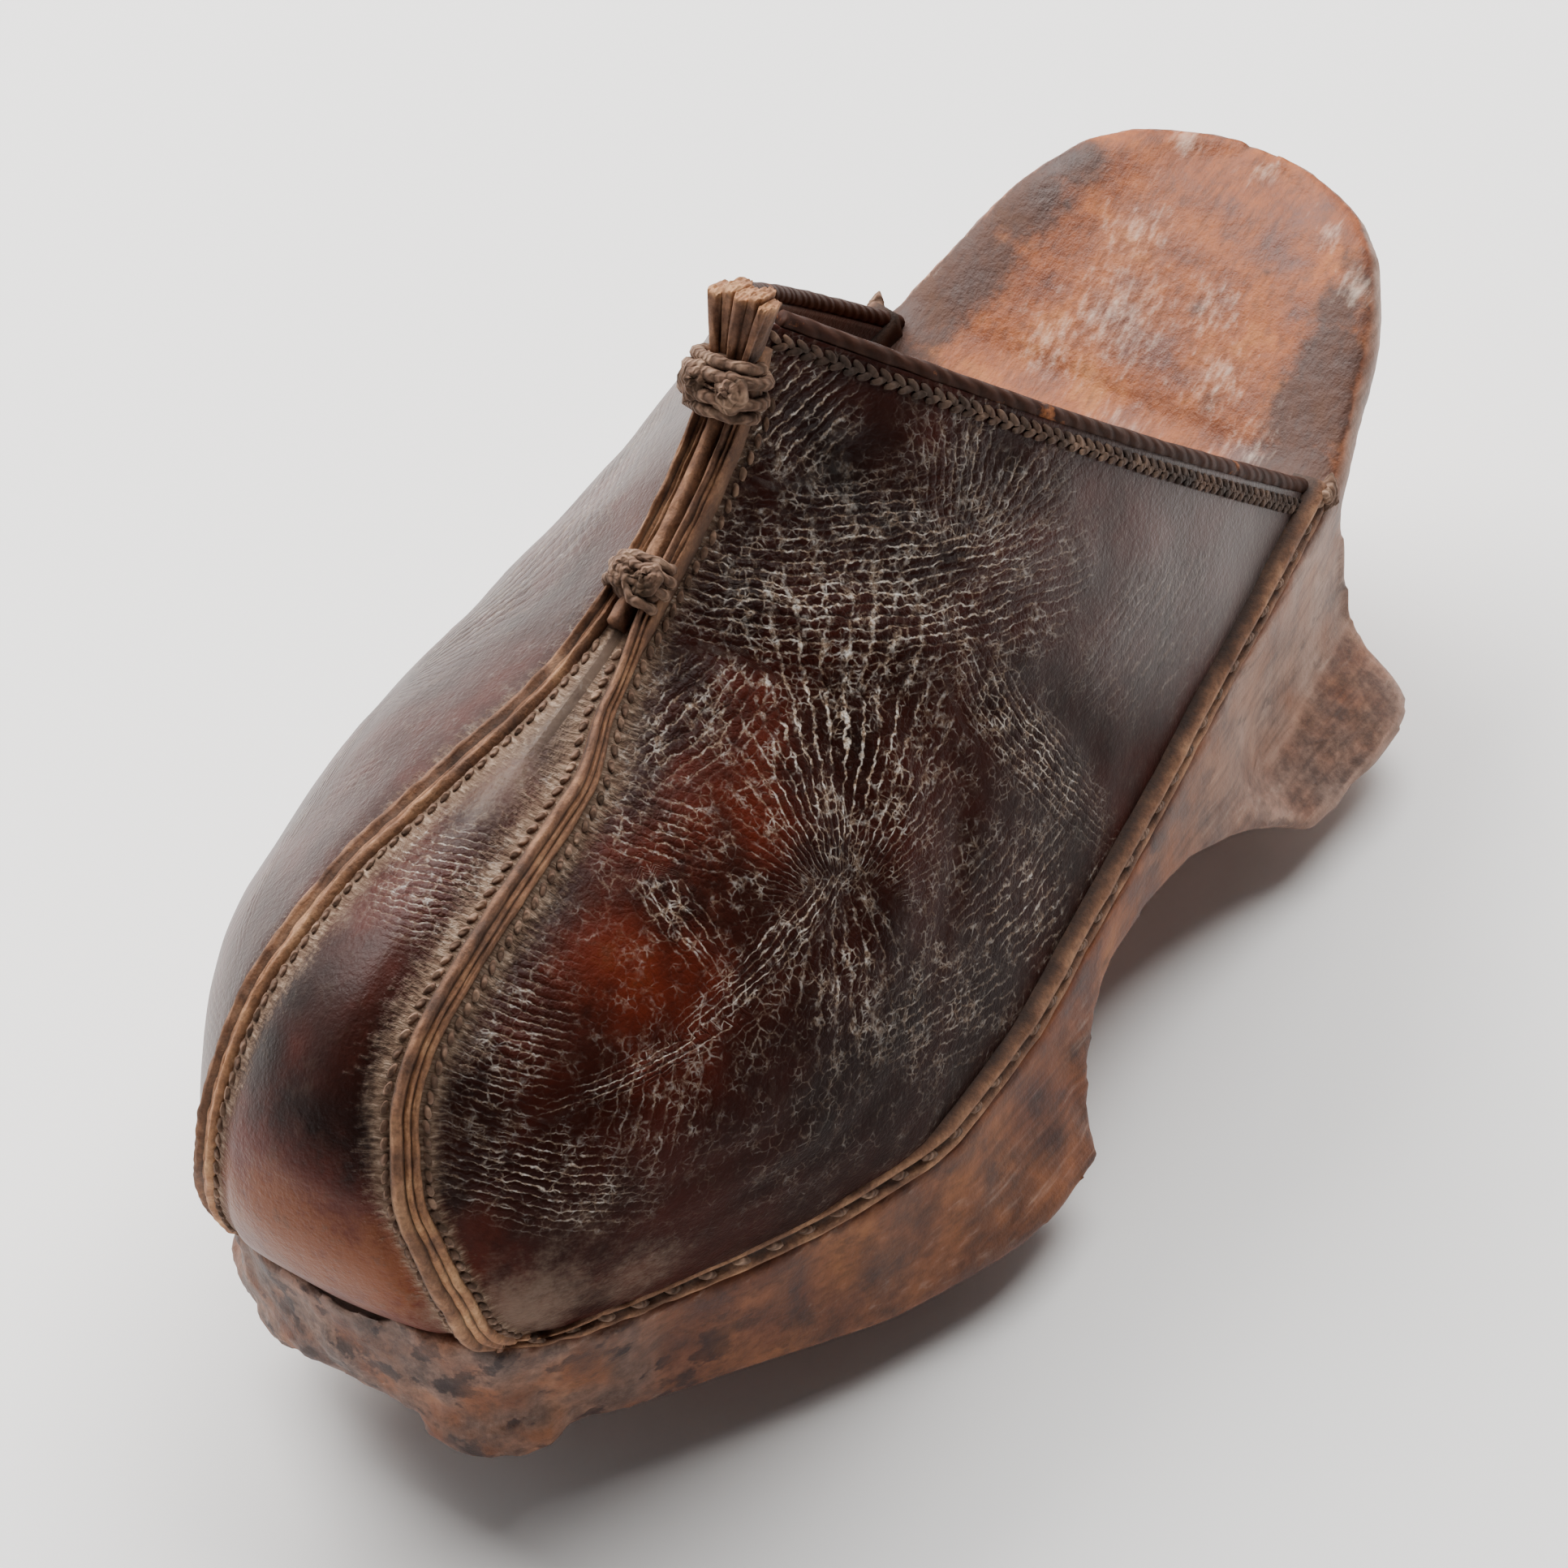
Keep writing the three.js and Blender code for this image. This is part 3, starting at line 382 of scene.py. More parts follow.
def rusted_iron():
    # Forged iron, roughness 0.5 to 0.88 with its rust, pits about 1 mm wide
    iron, place = new_material("rusted_forged_iron")
    rust = node(iron, "TexNoise", Vector=place, Scale=260.0, Detail=7.0, Roughness=0.7)
    pits = node(iron, "TexVoronoi", Vector=place, Scale=900.0)
    height = (node(iron, "SeparateXYZ", Vector=place), 2)
    tones = [(0.3, "#2b2421"), (0.45, "#4a3a32"), (0.55, "#6b4a35"), (0.66, "#9a5f35")]
    tones += [(0.78, "#b9793f")]
    rubbed, tone, rough = [
        node(iron, "ValToRGB", {"stops": stops}, Fac=source)
        for source, stops in (
            (height, [(0.0, 0.0), (0.004, 1.0)]),
            (rust, tones),
            (rust, [(0.35, 0.5), (0.6, 0.88)]),
        )
    ]
    colour = node(iron, "Mix", COLOURS, input_0=rubbed, input_6="#6f6a66", input_7=tone)
    relief = node(iron, "Math", MULTIPLY_ADD, input_0=pits, input_1=0.6, input_2=rust)
    looks = {"Base_Color": (colour, 2), "Metallic": 0.55, "Roughness": rough}
    return close_material(iron, relief, 0.7, 0.6, **looks)


iron_finish = rusted_iron()
for name in ("blade_front_left", "blade_front_right", "blade_heel_left", "blade_heel_right"):
    blade = worked_copy(name, "forged_" + name, BLADE_VOXEL, 2)
    points = points_of(blade)
    pitted = BLADE_PITTING * smooth_rise(9.4, 8.0, points[:, 2]) * cloudy(points, 3.5, 5)
    move_points(blade, points + points_of(blade, "normal", 1) * pitted[:, None])
    finish_piece(blade, iron_finish, "iron", name)


# Leather upper: two quarters and a narrow toe panel of thick oiled cowhide, lasted to the wood and
# laced to it along its foot. Its surface is a run of hoops from the collar to the toe, as in the
# frame's upper: each hoop leans forward from a foot on the platform's edge to a crown.
BLADE_DROP = 9
SOLE_RISE = 36.6
ARCH_HEIGHT = 88
LEDGE = 2.4
LEATHER_WALL = 2.4
TOE_GAP = 2
FRAME_SHIFT = np.array([0.496, 0.392, 0])
PLATFORM_EDGE = (
    [0, 0.0028, 0.0101, 0.0223, 0.0445, 0.081, 0.1296, 0.178, 0.2514, 0.3389, 0.4275, 0.5146,
     0.5972, 0.67, 0.74, 0.8, 0.844, 0.8935, 0.925, 0.945, 0.955, 0.961, 0.9645],
    [0.04, 0.099, 0.158, 0.208, 0.257, 0.305, 0.342, 0.376, 0.401, 0.424, 0.45, 0.475,
     0.497, 0.5, 0.459, 0.4, 0.348, 0.29, 0.25, 0.207, 0.162, 0.1, 0.03],
)
PLATFORM_RISE = (
    [0, 0.0445, 0.081, 0.1296, 0.178, 0.2514, 0.3389, 0.4275, 0.5146, 0.5972, 0.688, 0.769,
     0.844, 0.8935, 0.94, 0.9645],
    [1.42, 1.4, 1.31, 1.15, 1.008, 0.923, 0.825, 0.724, 0.658, 0.593, 0.568, 0.579,
     0.615, 0.66, 0.757, 0.809],
)
HOOPS = {
    "foot": [0.1867, 0.2514, 0.3389, 0.4275, 0.5146, 0.5972, 0.685, 0.765, 0.838, 0.888, 0.936,
             0.96],
    "crown": [0.544, 0.5688, 0.6247, 0.6964, 0.7773, 0.8555, 0.9263, 0.9696, 0.992, 0.996, 0.989,
              0.968],
    "rise": [0.978, 0.891, 0.802, 0.756, 0.7375, 0.725, 0.668, 0.557, 0.42, 0.3, 0.151, 0.03],
    "square_left": [3.5, 3.5, 3.4, 3.4, 3.5, 3.2, 2.9, 2.7, 2.7, 2.6, 2.4, 2.2],
    "lean_left": [1.2, 1.12, 1.02, 0.95, 0.84, 0.76, 0.66, 0.6, 0.54, 0.5, 0.5, 0.5],
    "square_right": [2.7, 2.8, 3.1, 3.3, 3.5, 2.9, 2.5, 2.4, 2.5, 2.6, 2.4, 2.2],
    "lean_right": [1.2, 1.12, 1.04, 0.96, 0.87, 0.8, 0.71, 0.62, 0.55, 0.5, 0.5, 0.5],
}
LAST_HOOP = 11
# Each seam's way: hoops, and its distance from the middle there as a share of the ball's width
SEAM_LEFT = (
    [3.33, 4, 4.7, 5.5, 6.2, 6.7, 7.15, 7.65, 8.15, 8.7, 9.3, 10.35],
    [0.043, 0.079, 0.087, 0.094, 0.097, 0.105, 0.121, 0.139, 0.163, 0.18, 0.195, 0.2],
)
SEAM_RIGHT = (
    [3.33, 4.4, 5.2, 5.95, 6.65, 7.35, 7.85, 8.65, 9.3, 10.35],
    [0.042, 0.094, 0.135, 0.158, 0.173, 0.178, 0.18, 0.182, 0.195, 0.2],
)
TAIL_END = 0.3
TAIL_START = 2.45
TAIL_WIDTH = 2.1
TAIL_GAP = 0.35
SEAM_WIDTH = 4.6
SEAM_HEIGHT = 2.4


def along(keys, values, at):
    """Shape-keeping cubic through a table, as the frame's own."""
    keys, values = np.asarray(keys, float), np.asarray(values, float)
    slope = np.diff(values) / np.diff(keys)
    tangent = np.concatenate([slope[:1], np.zeros(len(keys) - 2), slope[-1:]])
    both = slope[:-1] * slope[1:]
    total = np.where(both > 0, slope[:-1] + slope[1:], 1)
    tangent[1:-1] = np.where(both > 0, 2 * both / total, 0)
    at = np.clip(at, keys[0], keys[-1])
    i = np.clip(np.searchsorted(keys, at, side="right") - 1, 0, len(keys) - 2)
    span = keys[i + 1] - keys[i]
    t = (at - keys[i]) / span
    start = (1 + 2 * t) * (1 - t) ** 2 * values[i] + t * (1 - t) ** 2 * span * tangent[i]
    return start + t * t * (3 - 2 * t) * values[i + 1] + t * t * (t - 1) * span * tangent[i + 1]


def platform_top(x):
    return BLADE_DROP + SOLE_RISE * along(*PLATFORM_RISE, x / LENGTH + 0.5)


def hoop_value(column, hoop):
    return along(range(LAST_HOOP + 1), HOOPS[column], hoop)


def hoop_ends(hoop):
    """A hoop's foot on the platform's edge and its crown, in the hoop's own frame."""
    at = hoop_value("foot", hoop)
    low = np.maximum(at - 0.001, 0)
    high = np.minimum(at + 0.001, PLATFORM_EDGE[0][-1])
    run = (high - low) * LENGTH
    fall = BALL_WIDTH * (along(*PLATFORM_EDGE, low) - along(*PLATFORM_EDGE, high))
    size = np.hypot(run, fall)
    foot_x = (at - 0.5) * LENGTH - LEDGE * fall / size
    foot_y = np.maximum(BALL_WIDTH * along(*PLATFORM_EDGE, at) - LEDGE * run / size, 1)
    foot_z = platform_top(foot_x)
    crown_x = (hoop_value("crown", hoop) - 0.5) * LENGTH
    return foot_x, foot_y, foot_z, crown_x, foot_z + ARCH_HEIGHT * hoop_value("rise", hoop)


def leather(hoop, turn):
    """A point of the leather's face. Turn: 0 at the crown, 1 at the left foot, -1 at the right."""
    hoop, turn = np.broadcast_arrays(np.asarray(hoop, float), np.asarray(turn, float))
    foot_x, foot_y, foot_z, crown_x, crown_z = hoop_ends(hoop)
    square, lean = [
        np.where(turn > 0, hoop_value(column + "_left", hoop), hoop_value(column + "_right", hoop))
        for column in ("square", "lean")
    ]
    angle = np.abs(turn) * math.pi / 2
    height = np.cos(angle) ** (2 / square)
    wide = np.sin(angle) ** (2 * lean)
    x = foot_x + (crown_x - foot_x) * height
    z = foot_z + (crown_z - foot_z) * height
    return np.stack([x, np.sign(turn) * foot_y * wide, z], -1) + FRAME_SHIFT


def unit(vectors):
    return vectors / np.maximum(np.linalg.norm(vectors, axis=-1, keepdims=True), 1e-9)


def leather_normal(hoop, turn):
    side = np.where(np.asarray(turn) >= 0, 1.0, -1.0)
    low = np.clip(np.abs(turn) - 0.02, 0.03, 0.965)
    high = np.clip(np.abs(turn) + 0.02, 0.05, 0.985)
    middle = side * (low + high) / 2
    down = leather(hoop, side * high) - leather(hoop, side * low)
    late, early = np.minimum(hoop + 0.02, LAST_HOOP), np.maximum(hoop - 0.02, 0)
    fore = leather(late, middle) - leather(early, middle)
    return unit(np.cross(fore, down) * side[..., None])


def crown_line(hoop, away=0.0):
    """Points at a distance beside the crowns of hoops, their normals and forward directions."""
    *_, crown_x, crown_z = hoop_ends(hoop)
    late, early = hoop_ends(hoop + 0.05), hoop_ends(np.maximum(hoop - 0.05, 0))
    fore = unit(np.stack([late[3] - early[3], 0 * hoop, late[4] - early[4]], -1))
    centre = np.stack([crown_x, away + 0 * hoop, crown_z], -1) + FRAME_SHIFT
    return centre, unit(np.cross(fore, [0, 1, 0])), fore


def seam_line(side, count):
    """Centre line of a raised seam on the leather, with its normals, side directions and widths."""
    path_hoop, path_away = SEAM_LEFT if side > 0 else SEAM_RIGHT
    shift = (TAIL_WIDTH + TAIL_GAP) / BALL_WIDTH
    keys = [TAIL_END, TAIL_START - 0.3, TAIL_START, *path_hoop]
    values = [shift, shift, shift + 0.2 / BALL_WIDTH, *path_away]
    hoop = np.linspace(TAIL_END, path_hoop[-1], count)
    away = BALL_WIDTH * along(keys, values, hoop)
    crown, crown_normal, _ = crown_line(hoop, side * away)
    lean = hoop_value("lean_left" if side > 0 else "lean_right", hoop)
    turn = (2 / math.pi) * np.arcsin(np.minimum(away / hoop_ends(hoop)[1], 1) ** (1 / (2 * lean)))
    share = smooth_rise(TAIL_START, TAIL_START + 0.9, hoop)[:, None]
    centre = crown * (1 - share) + leather(hoop, side * turn) * share
    normal = unit(crown_normal * (1 - share) + leather_normal(hoop, side * turn) * share)
    forward = unit(np.gradient(centre, axis=0))
    sideways = unit(np.cross(normal, forward))
    spread = smooth_rise(TAIL_START, TAIL_START + 2, hoop)
    return {
        "hoop": hoop,
        "centre": centre,
        "normal": unit(np.cross(forward, sideways)),
        "sideways": sideways,
        "forward": forward,
        "half": (TAIL_WIDTH * (1 - spread) + SEAM_WIDTH * spread) / 2,
    }


def run_lengths(lines):
    """The way along each line of points from its first point to every other."""
    steps = np.linalg.norm(np.diff(lines, axis=-2), axis=-1)
    start = np.zeros((*steps.shape[:-1], 1))
    return np.concatenate([start, np.cumsum(steps, axis=-1)], axis=-1)


def nearest_on(line, points):
    """The number of the line's point that is nearest to each point, and how far away it is."""
    away = np.linalg.norm(points[:, None, :] - line[None, :, :], axis=2)
    nearest = away.argmin(1)
    return nearest, away[np.arange(len(points)), nearest]


# The sheet: a grid whose rows are hoops and whose columns are even steps of the way round a hoop
ROWS = 210
COLUMNS = 170
bpy.ops.object.select_all(action="DESELECT")
bpy.ops.mesh.primitive_grid_add(x_subdivisions=ROWS, y_subdivisions=COLUMNS, size=1)
upper = bpy.context.object
upper.name = "leather_upper"
flat = points_of(upper, scale=1)
hoop = LAST_HOOP * (flat[:, 0] + 0.5)
column = flat[:, 1] * 2
fine = 1 - (1 - np.linspace(0, 1, 260)) ** 2.6
row_hoops, row_of = np.unique(np.round(hoop, 5), return_inverse=True)
turn = np.empty(len(flat))
for side in (1, -1):
    lengths = run_lengths(leather(row_hoops[:, None], side * fine[None, :]))
    for i, length in enumerate(lengths):
        mine = (row_of == i) & (column * side >= 0)
        turn[mine] = side * np.interp(np.abs(column[mine]) * length[-1], length, fine)
shape = leather(hoop, turn)
outward = leather_normal(hoop, turn)

# Main creases and folds, placed on the shoe: hoop and turn of each point along it, depth and width.
# A negative depth is a trough and a positive one a ridge.
FOLDS = [
    ([(0.45, 0.18), (0.75, 0.36), (0.85, 0.55), (0.7, 0.72)], 0.7, 4.5),
    ([(0.9, 0.2), (1.0, 0.39), (1.05, 0.5)], -1.1, 7.0),
    ([(0.5, 0.56), (0.62, 0.62), (0.9, 0.68)], -0.8, 6.0),
    ([(1.45, 0.12), (1.5, 0.35), (1.45, 0.6), (1.2, 0.78)], 0.8, 4.5),
    ([(1.85, 0.12), (1.9, 0.4), (1.8, 0.66), (1.5, 0.85)], -0.75, 3.6),
    ([(2.25, 0.16), (2.3, 0.42), (2.15, 0.68), (1.85, 0.87)], 0.7, 4.0),
    ([(2.65, 0.24), (2.7, 0.48), (2.5, 0.72), (2.2, 0.9)], -0.7, 3.8),
    ([(2.9, 0.52), (3.4, 0.62), (4.0, 0.68), (4.7, 0.72)], -0.95, 4.0),
    ([(2.9, 0.62), (3.4, 0.7), (4.0, 0.75), (4.5, 0.8)], 0.7, 4.5),
    ([(2.9, 0.72), (3.4, 0.79), (3.9, 0.83), (4.6, 0.86)], -0.7, 3.6),
    ([(4.25, 0.71), (5.2, 0.596), (6.18, 0.467)], -0.75, 3.2),
    ([(3.0, 0.42), (3.5, 0.52), (4.2, 0.6)], 0.6, 5.0),
    ([(2.2, 0.8), (2.6, 0.92), (3.1, 0.96)], -0.7, 5.0),
    ([(5.4, 0.8), (6.2, 0.74), (7.2, 0.62)], -0.5, 3.0),
    ([(4.9, 0.9), (6.0, 0.86), (7.1, 0.78)], -0.45, 3.0),
    ([(4.6, 0.06), (4.75, 0.2), (4.7, 0.27)], -0.4, 2.4),
    ([(4.95, 0.03), (5.05, 0.18), (5.0, 0.26)], -0.35, 2.2),
    ([(0.8, -0.2), (1.3, -0.5), (2.0, -0.8)], -0.5, 6.0),
    ([(1.6, -0.3), (2.4, -0.55), (3.2, -0.8)], 0.5, 7.0),
    ([(2.6, -0.4), (3.6, -0.62), (4.6, -0.85)], -0.4, 7.0),
]
lift = np.zeros(len(shape))
share = np.linspace(0, 1, 36)
fade = np.sin(math.pi * np.clip(share, 0.04, 0.96)) ** 0.6
for path, depth, width in FOLDS:
    line = leather(*[along(np.linspace(0, 1, len(path)), values, share) for values in zip(*path)])
    nearest, away = nearest_on(line, shape)
    lift += depth * fade[nearest] * np.exp(-((away / width) ** 2) * 1.6)

# Fine creases run in families, each a set of lines side by side or fanned out from a point. They
# are laid out in the plane that faces the left quarter, with x to the heel and y up the instep,
# seen from the eye point. Beyond the right flank's y the right quarter has creased in the same way,
# only less.
EYE = [671.9, 453.8, 851.4]
EYE_DISTANCE = 1170
EYE_AXES = [
    [-0.53757, 0.84264, -0.03125],
    [-0.61024, -0.3632, 0.70406],
    [-0.58192, -0.39755, -0.70946],
]
RIGHT_FLANK = -8
CREASE_FIELDS = [
    # layer, x, y, slant in degrees, spacing (radians in a fan), long, wide, strength, fan point
    (0, 11.1, 28.6, 3, 1.62, 26, 12.5, 1.0, None),
    (0, -0.4, 53.2, 42, 1.7, 9, 9, 0.9, None),
    (0, -11.3, 10.6, 45, 1.85, 12, 8, 0.6, None),
    (0, -3.3, -25.6, 46, 1.2, 17, 3.0, 0.95, None),
    (0, -19.1, -39.8, 26, 1.1, 14, 1.8, 1.0, None),
    (0, 35.7, -15.5, 48, 1.45, 11, 9, 0.55, None),
    (0, 40.0, -15.3, 55, 1.35, 9, 8, 0.45, None),
    (0, 22.7, -31.4, 32, 1.6, 12, 8, 0.35, None),
    (0, -34.1, -55.6, -9, 1.33, 13, 6.5, 0.8, None),
    (0, 51.6, 21.5, 55, 1.25, 14, 12, 0.16, None),
    (0, -49.2, -13.9, -12, 1.15, 9, 9, 0.55, None),
    (1, 8.0, 11.0, 90, 0.085, 27, 14, 0.9, (9.0, -17.6)),
    (1, 9.0, -27.0, 90, 0.09, 12, 7, 0.5, (7.5, -3.2)),
    (1, 28.5, 43.8, 80, 0.075, 13, 11, 0.5, (22.7, 27.2)),
    (1, 34.1, 6.4, -51, 1.12, 16, 4.4, 0.75, None),
    (1, -39.2, -37.3, -18, 1.42, 7, 15, 0.5, None),
    (1, -15.0, -18.5, -55, 1.6, 8, 3.5, 0.6, None),
    (1, -18.3, -6.4, -20, 1.6, 10, 7, 0.4, None),
    (1, -18.3, -46.5, 75, 1.8, 10, 8, 0.35, None),
    (1, 30.8, 46.5, 50, 1.2, 9, 5, 0.45, None),
]
on_right = shape[:, 1] < RIGHT_FLANK
mirrored = shape * np.where(on_right[:, None], [[1, -1, 1]], [[1, 1, 1]])
seen = (mirrored - EYE) @ np.transpose(EYE_AXES)
flat_x, flat_y = (EYE_DISTANCE * seen[:, :2] / seen[:, 2:]).T
phases, weights, seconds = np.zeros((3, 2, len(shape)))
for layer, cx, cy, slant, spacing, long, wide, strength, fan in CREASE_FIELDS:
    slant = math.radians(slant)
    run = (flat_x - cx) * math.cos(slant) + (flat_y - cy) * math.sin(slant)
    over = (flat_y - cy) * math.cos(slant) - (flat_x - cx) * math.sin(slant)
    weight = strength * np.exp(-(((run / long) ** 2 + (over / wide) ** 2) ** 1.5))
    phase = (over - 0.006 * run * run) / spacing
    if fan:
        phase = np.arctan2(flat_x - fan[0], np.abs(flat_y - fan[1]) + 0.5) / spacing
        weight = weight * smooth_rise(2, 11, np.hypot(flat_x - fan[0], flat_y - fan[1]))
    won = weight > weights[layer]
    seconds[layer] = np.where(won, weights[layer], np.maximum(seconds[layer], weight))
    weights[layer] = np.where(won, weight, weights[layer])
    phases[layer] = np.where(won, phase, phases[layer])
weights = weights * smooth_rise(0, 0.1, weights - seconds)
weights = weights * np.where(on_right, 0.7 * smooth_rise(0.35, 0.7, -turn), 1.0)
middle_crackle = 0.42 * np.exp(-(((flat_x / 42) ** 2 + ((flat_y + 2) / 60) ** 2) ** 2))
crackled = np.clip(weights.max(0) + middle_crackle, 0, 1) * np.where(on_right, 0.35, 1.0)
lift += 0.3 * crackled * cloudy(shape * [1, 0.55, 1], 4.2, 6, 2)
lift += 0.42 * cloudy(shape, 24, 7, 2) * smooth_rise(0, 0.6, hoop)

# The leather is drawn down beside the raised seams and pulled tight at its foot and collar
seam_away = np.full(len(shape), 99.0)
seam_run = np.zeros(len(shape))
for side in (1, -1):
    line = seam_line(side, 150)
    nearest, away = nearest_on(line["centre"], shape)
    away = away - line["half"][nearest]
    past = np.einsum("ij,ij->i", shape - line["centre"][nearest], line["forward"][nearest])
    run = run_lengths(line["centre"])[nearest] + past + 400 * (side > 0)
    seam_run = np.where(away < seam_away, run, seam_run)
    seam_away = np.minimum(seam_away, away)
off_seam = np.maximum(seam_away, 0)
foot_away = np.linalg.norm(shape - leather(hoop, np.sign(turn + 1e-9)), axis=1)
held = np.minimum(smooth_rise(0.0, 7, off_seam), smooth_rise(0.0, 0.25, hoop))
lift = lift * np.minimum(held, smooth_rise(2, 12, foot_away))
lift -= 0.35 * np.exp(-(((off_seam - 2.2) / 1.2) ** 2)) * smooth_rise(2.4, 3.2, hoop)
shape = shape + outward * lift[:, None]

# Open joint between the toe panel and the wooden lip
over_wood = shape[:, 2] - platform_top(shape[:, 0] - FRAME_SHIFT[0])
gap = TOE_GAP * smooth_rise(15.2, 13.5, np.abs(shape[:, 1])) * smooth_rise(96, 100, shape[:, 0])
low = (over_wood < gap) & (gap > 0)
shape[low, 2] += (gap - over_wood)[low]
move_points(upper, shape)

# Where the hide is dusty, rubbed, polished, darkened or powdery, with painted shade among the
# darkened spots: x, y, z, radius, strength
WORN = [
    (81, 24, 85, 12, 0.6), (75, 30, 81, 10, 0.52), (49, 18, 92, 16, 0.38), (51, 26, 86, 12, 0.38),
    (64, 22, 90, 14, 0.45), (122, -2, 57, 18, 1.2), (120, 8, 56, 16, 1.15), (121, -10, 54, 16, 1.1),
    (110, 6, 84, 9, 0.3), (116, 20, 50, 10, 0.5), (106, 32, 44, 12, 0.35),
]
# The first five darken the toe panel and the hide by the upper knot; the last five are painted
# shade on the left quarter, most of it low down
DARK_MARKS_AND_SHADE = [
    (112, -11, 79, 6, 1.0), (108, -10, 84, 6, 0.7), (116, -2, 74, 8, 0.6), (118, 8, 74, 7, 0.5),
    (13, 12, 110, 9, 0.7), (46, 38, 76, 14, 0.5), (30, 46, 52, 22, 0.8), (55, 46, 52, 22, 0.8),
    (12, 44, 58, 16, 0.6), (84, 40, 52, 16, 0.4),
]
POWDERY = [
    (58, 0, 100, 12, 0.8), (70, -3, 97, 13, 0.7), (82, -6, 92, 12, 0.5), (50, 0, 101, 6, 0.9),
    (94, -10, 88, 9, 0.5), (104, -12, 82, 7, 0.45), (110, 25, 46, 13, 0.85), (97, 36, 43, 11, 0.7),
    (117, 18, 47, 8, 0.7), (104, 32, 58, 12, 0.4),
]
on_right = shape[:, 1] < RIGHT_FLANK
dust_width = np.where(np.abs(shape[:, 1] + 2) < 14, 2.5, 2.0) - 0.8 * smooth_rise(6, 8.5, hoop)
dust = np.exp(-np.maximum(seam_away - 0.6, 0) / dust_width) * smooth_rise(0, 0.5, hoop)
rear = smooth_rise(2.6, 1.0, hoop) * smooth_rise(0.55, 0.85, turn)
polish = 0.15 - 0.125 * smooth_rise(0.2, 0.5, turn) * smooth_rise(1.3, 2.6, hoop)
for name, values in (
    ("crackle", crackled),
    ("crease_phase_0", phases[0]),
    ("crease_phase_1", phases[1]),
    ("crease_0", weights[0]),
    ("crease_1", weights[1]),
    ("dust", np.clip(dust + 0.25 * np.exp(-foot_away / 5), 0, 1)),
    ("seam_run", seam_run),
    ("seam_away", seam_away),
    ("foot", np.exp(-foot_away / 3.0) * smooth_rise(6, 8.5, hoop)),
    ("worn", spots(shape, WORN)),
    ("polish", polish),
    ("film", 0.04 + 0.3 * rear + 0.2 * on_right * smooth_rise(0.1, 0.4, -turn)),
    ("glow", np.where(on_right, 0.74, 0.9)),
    # Darkened spots, partly painted shade on the left quarter
    ("dark", spots(shape, DARK_MARKS_AND_SHADE)),
    ("powder", spots(shape, POWDERY)),
):
    paint(upper, name, values)
work_mesh(upper, bpy.ops.mesh.normals_make_consistent, inside=False)
apply_modifier(upper, "SOLIDIFY", thickness=LEATHER_WALL * MM, offset=-1.0, use_even_offset=False)
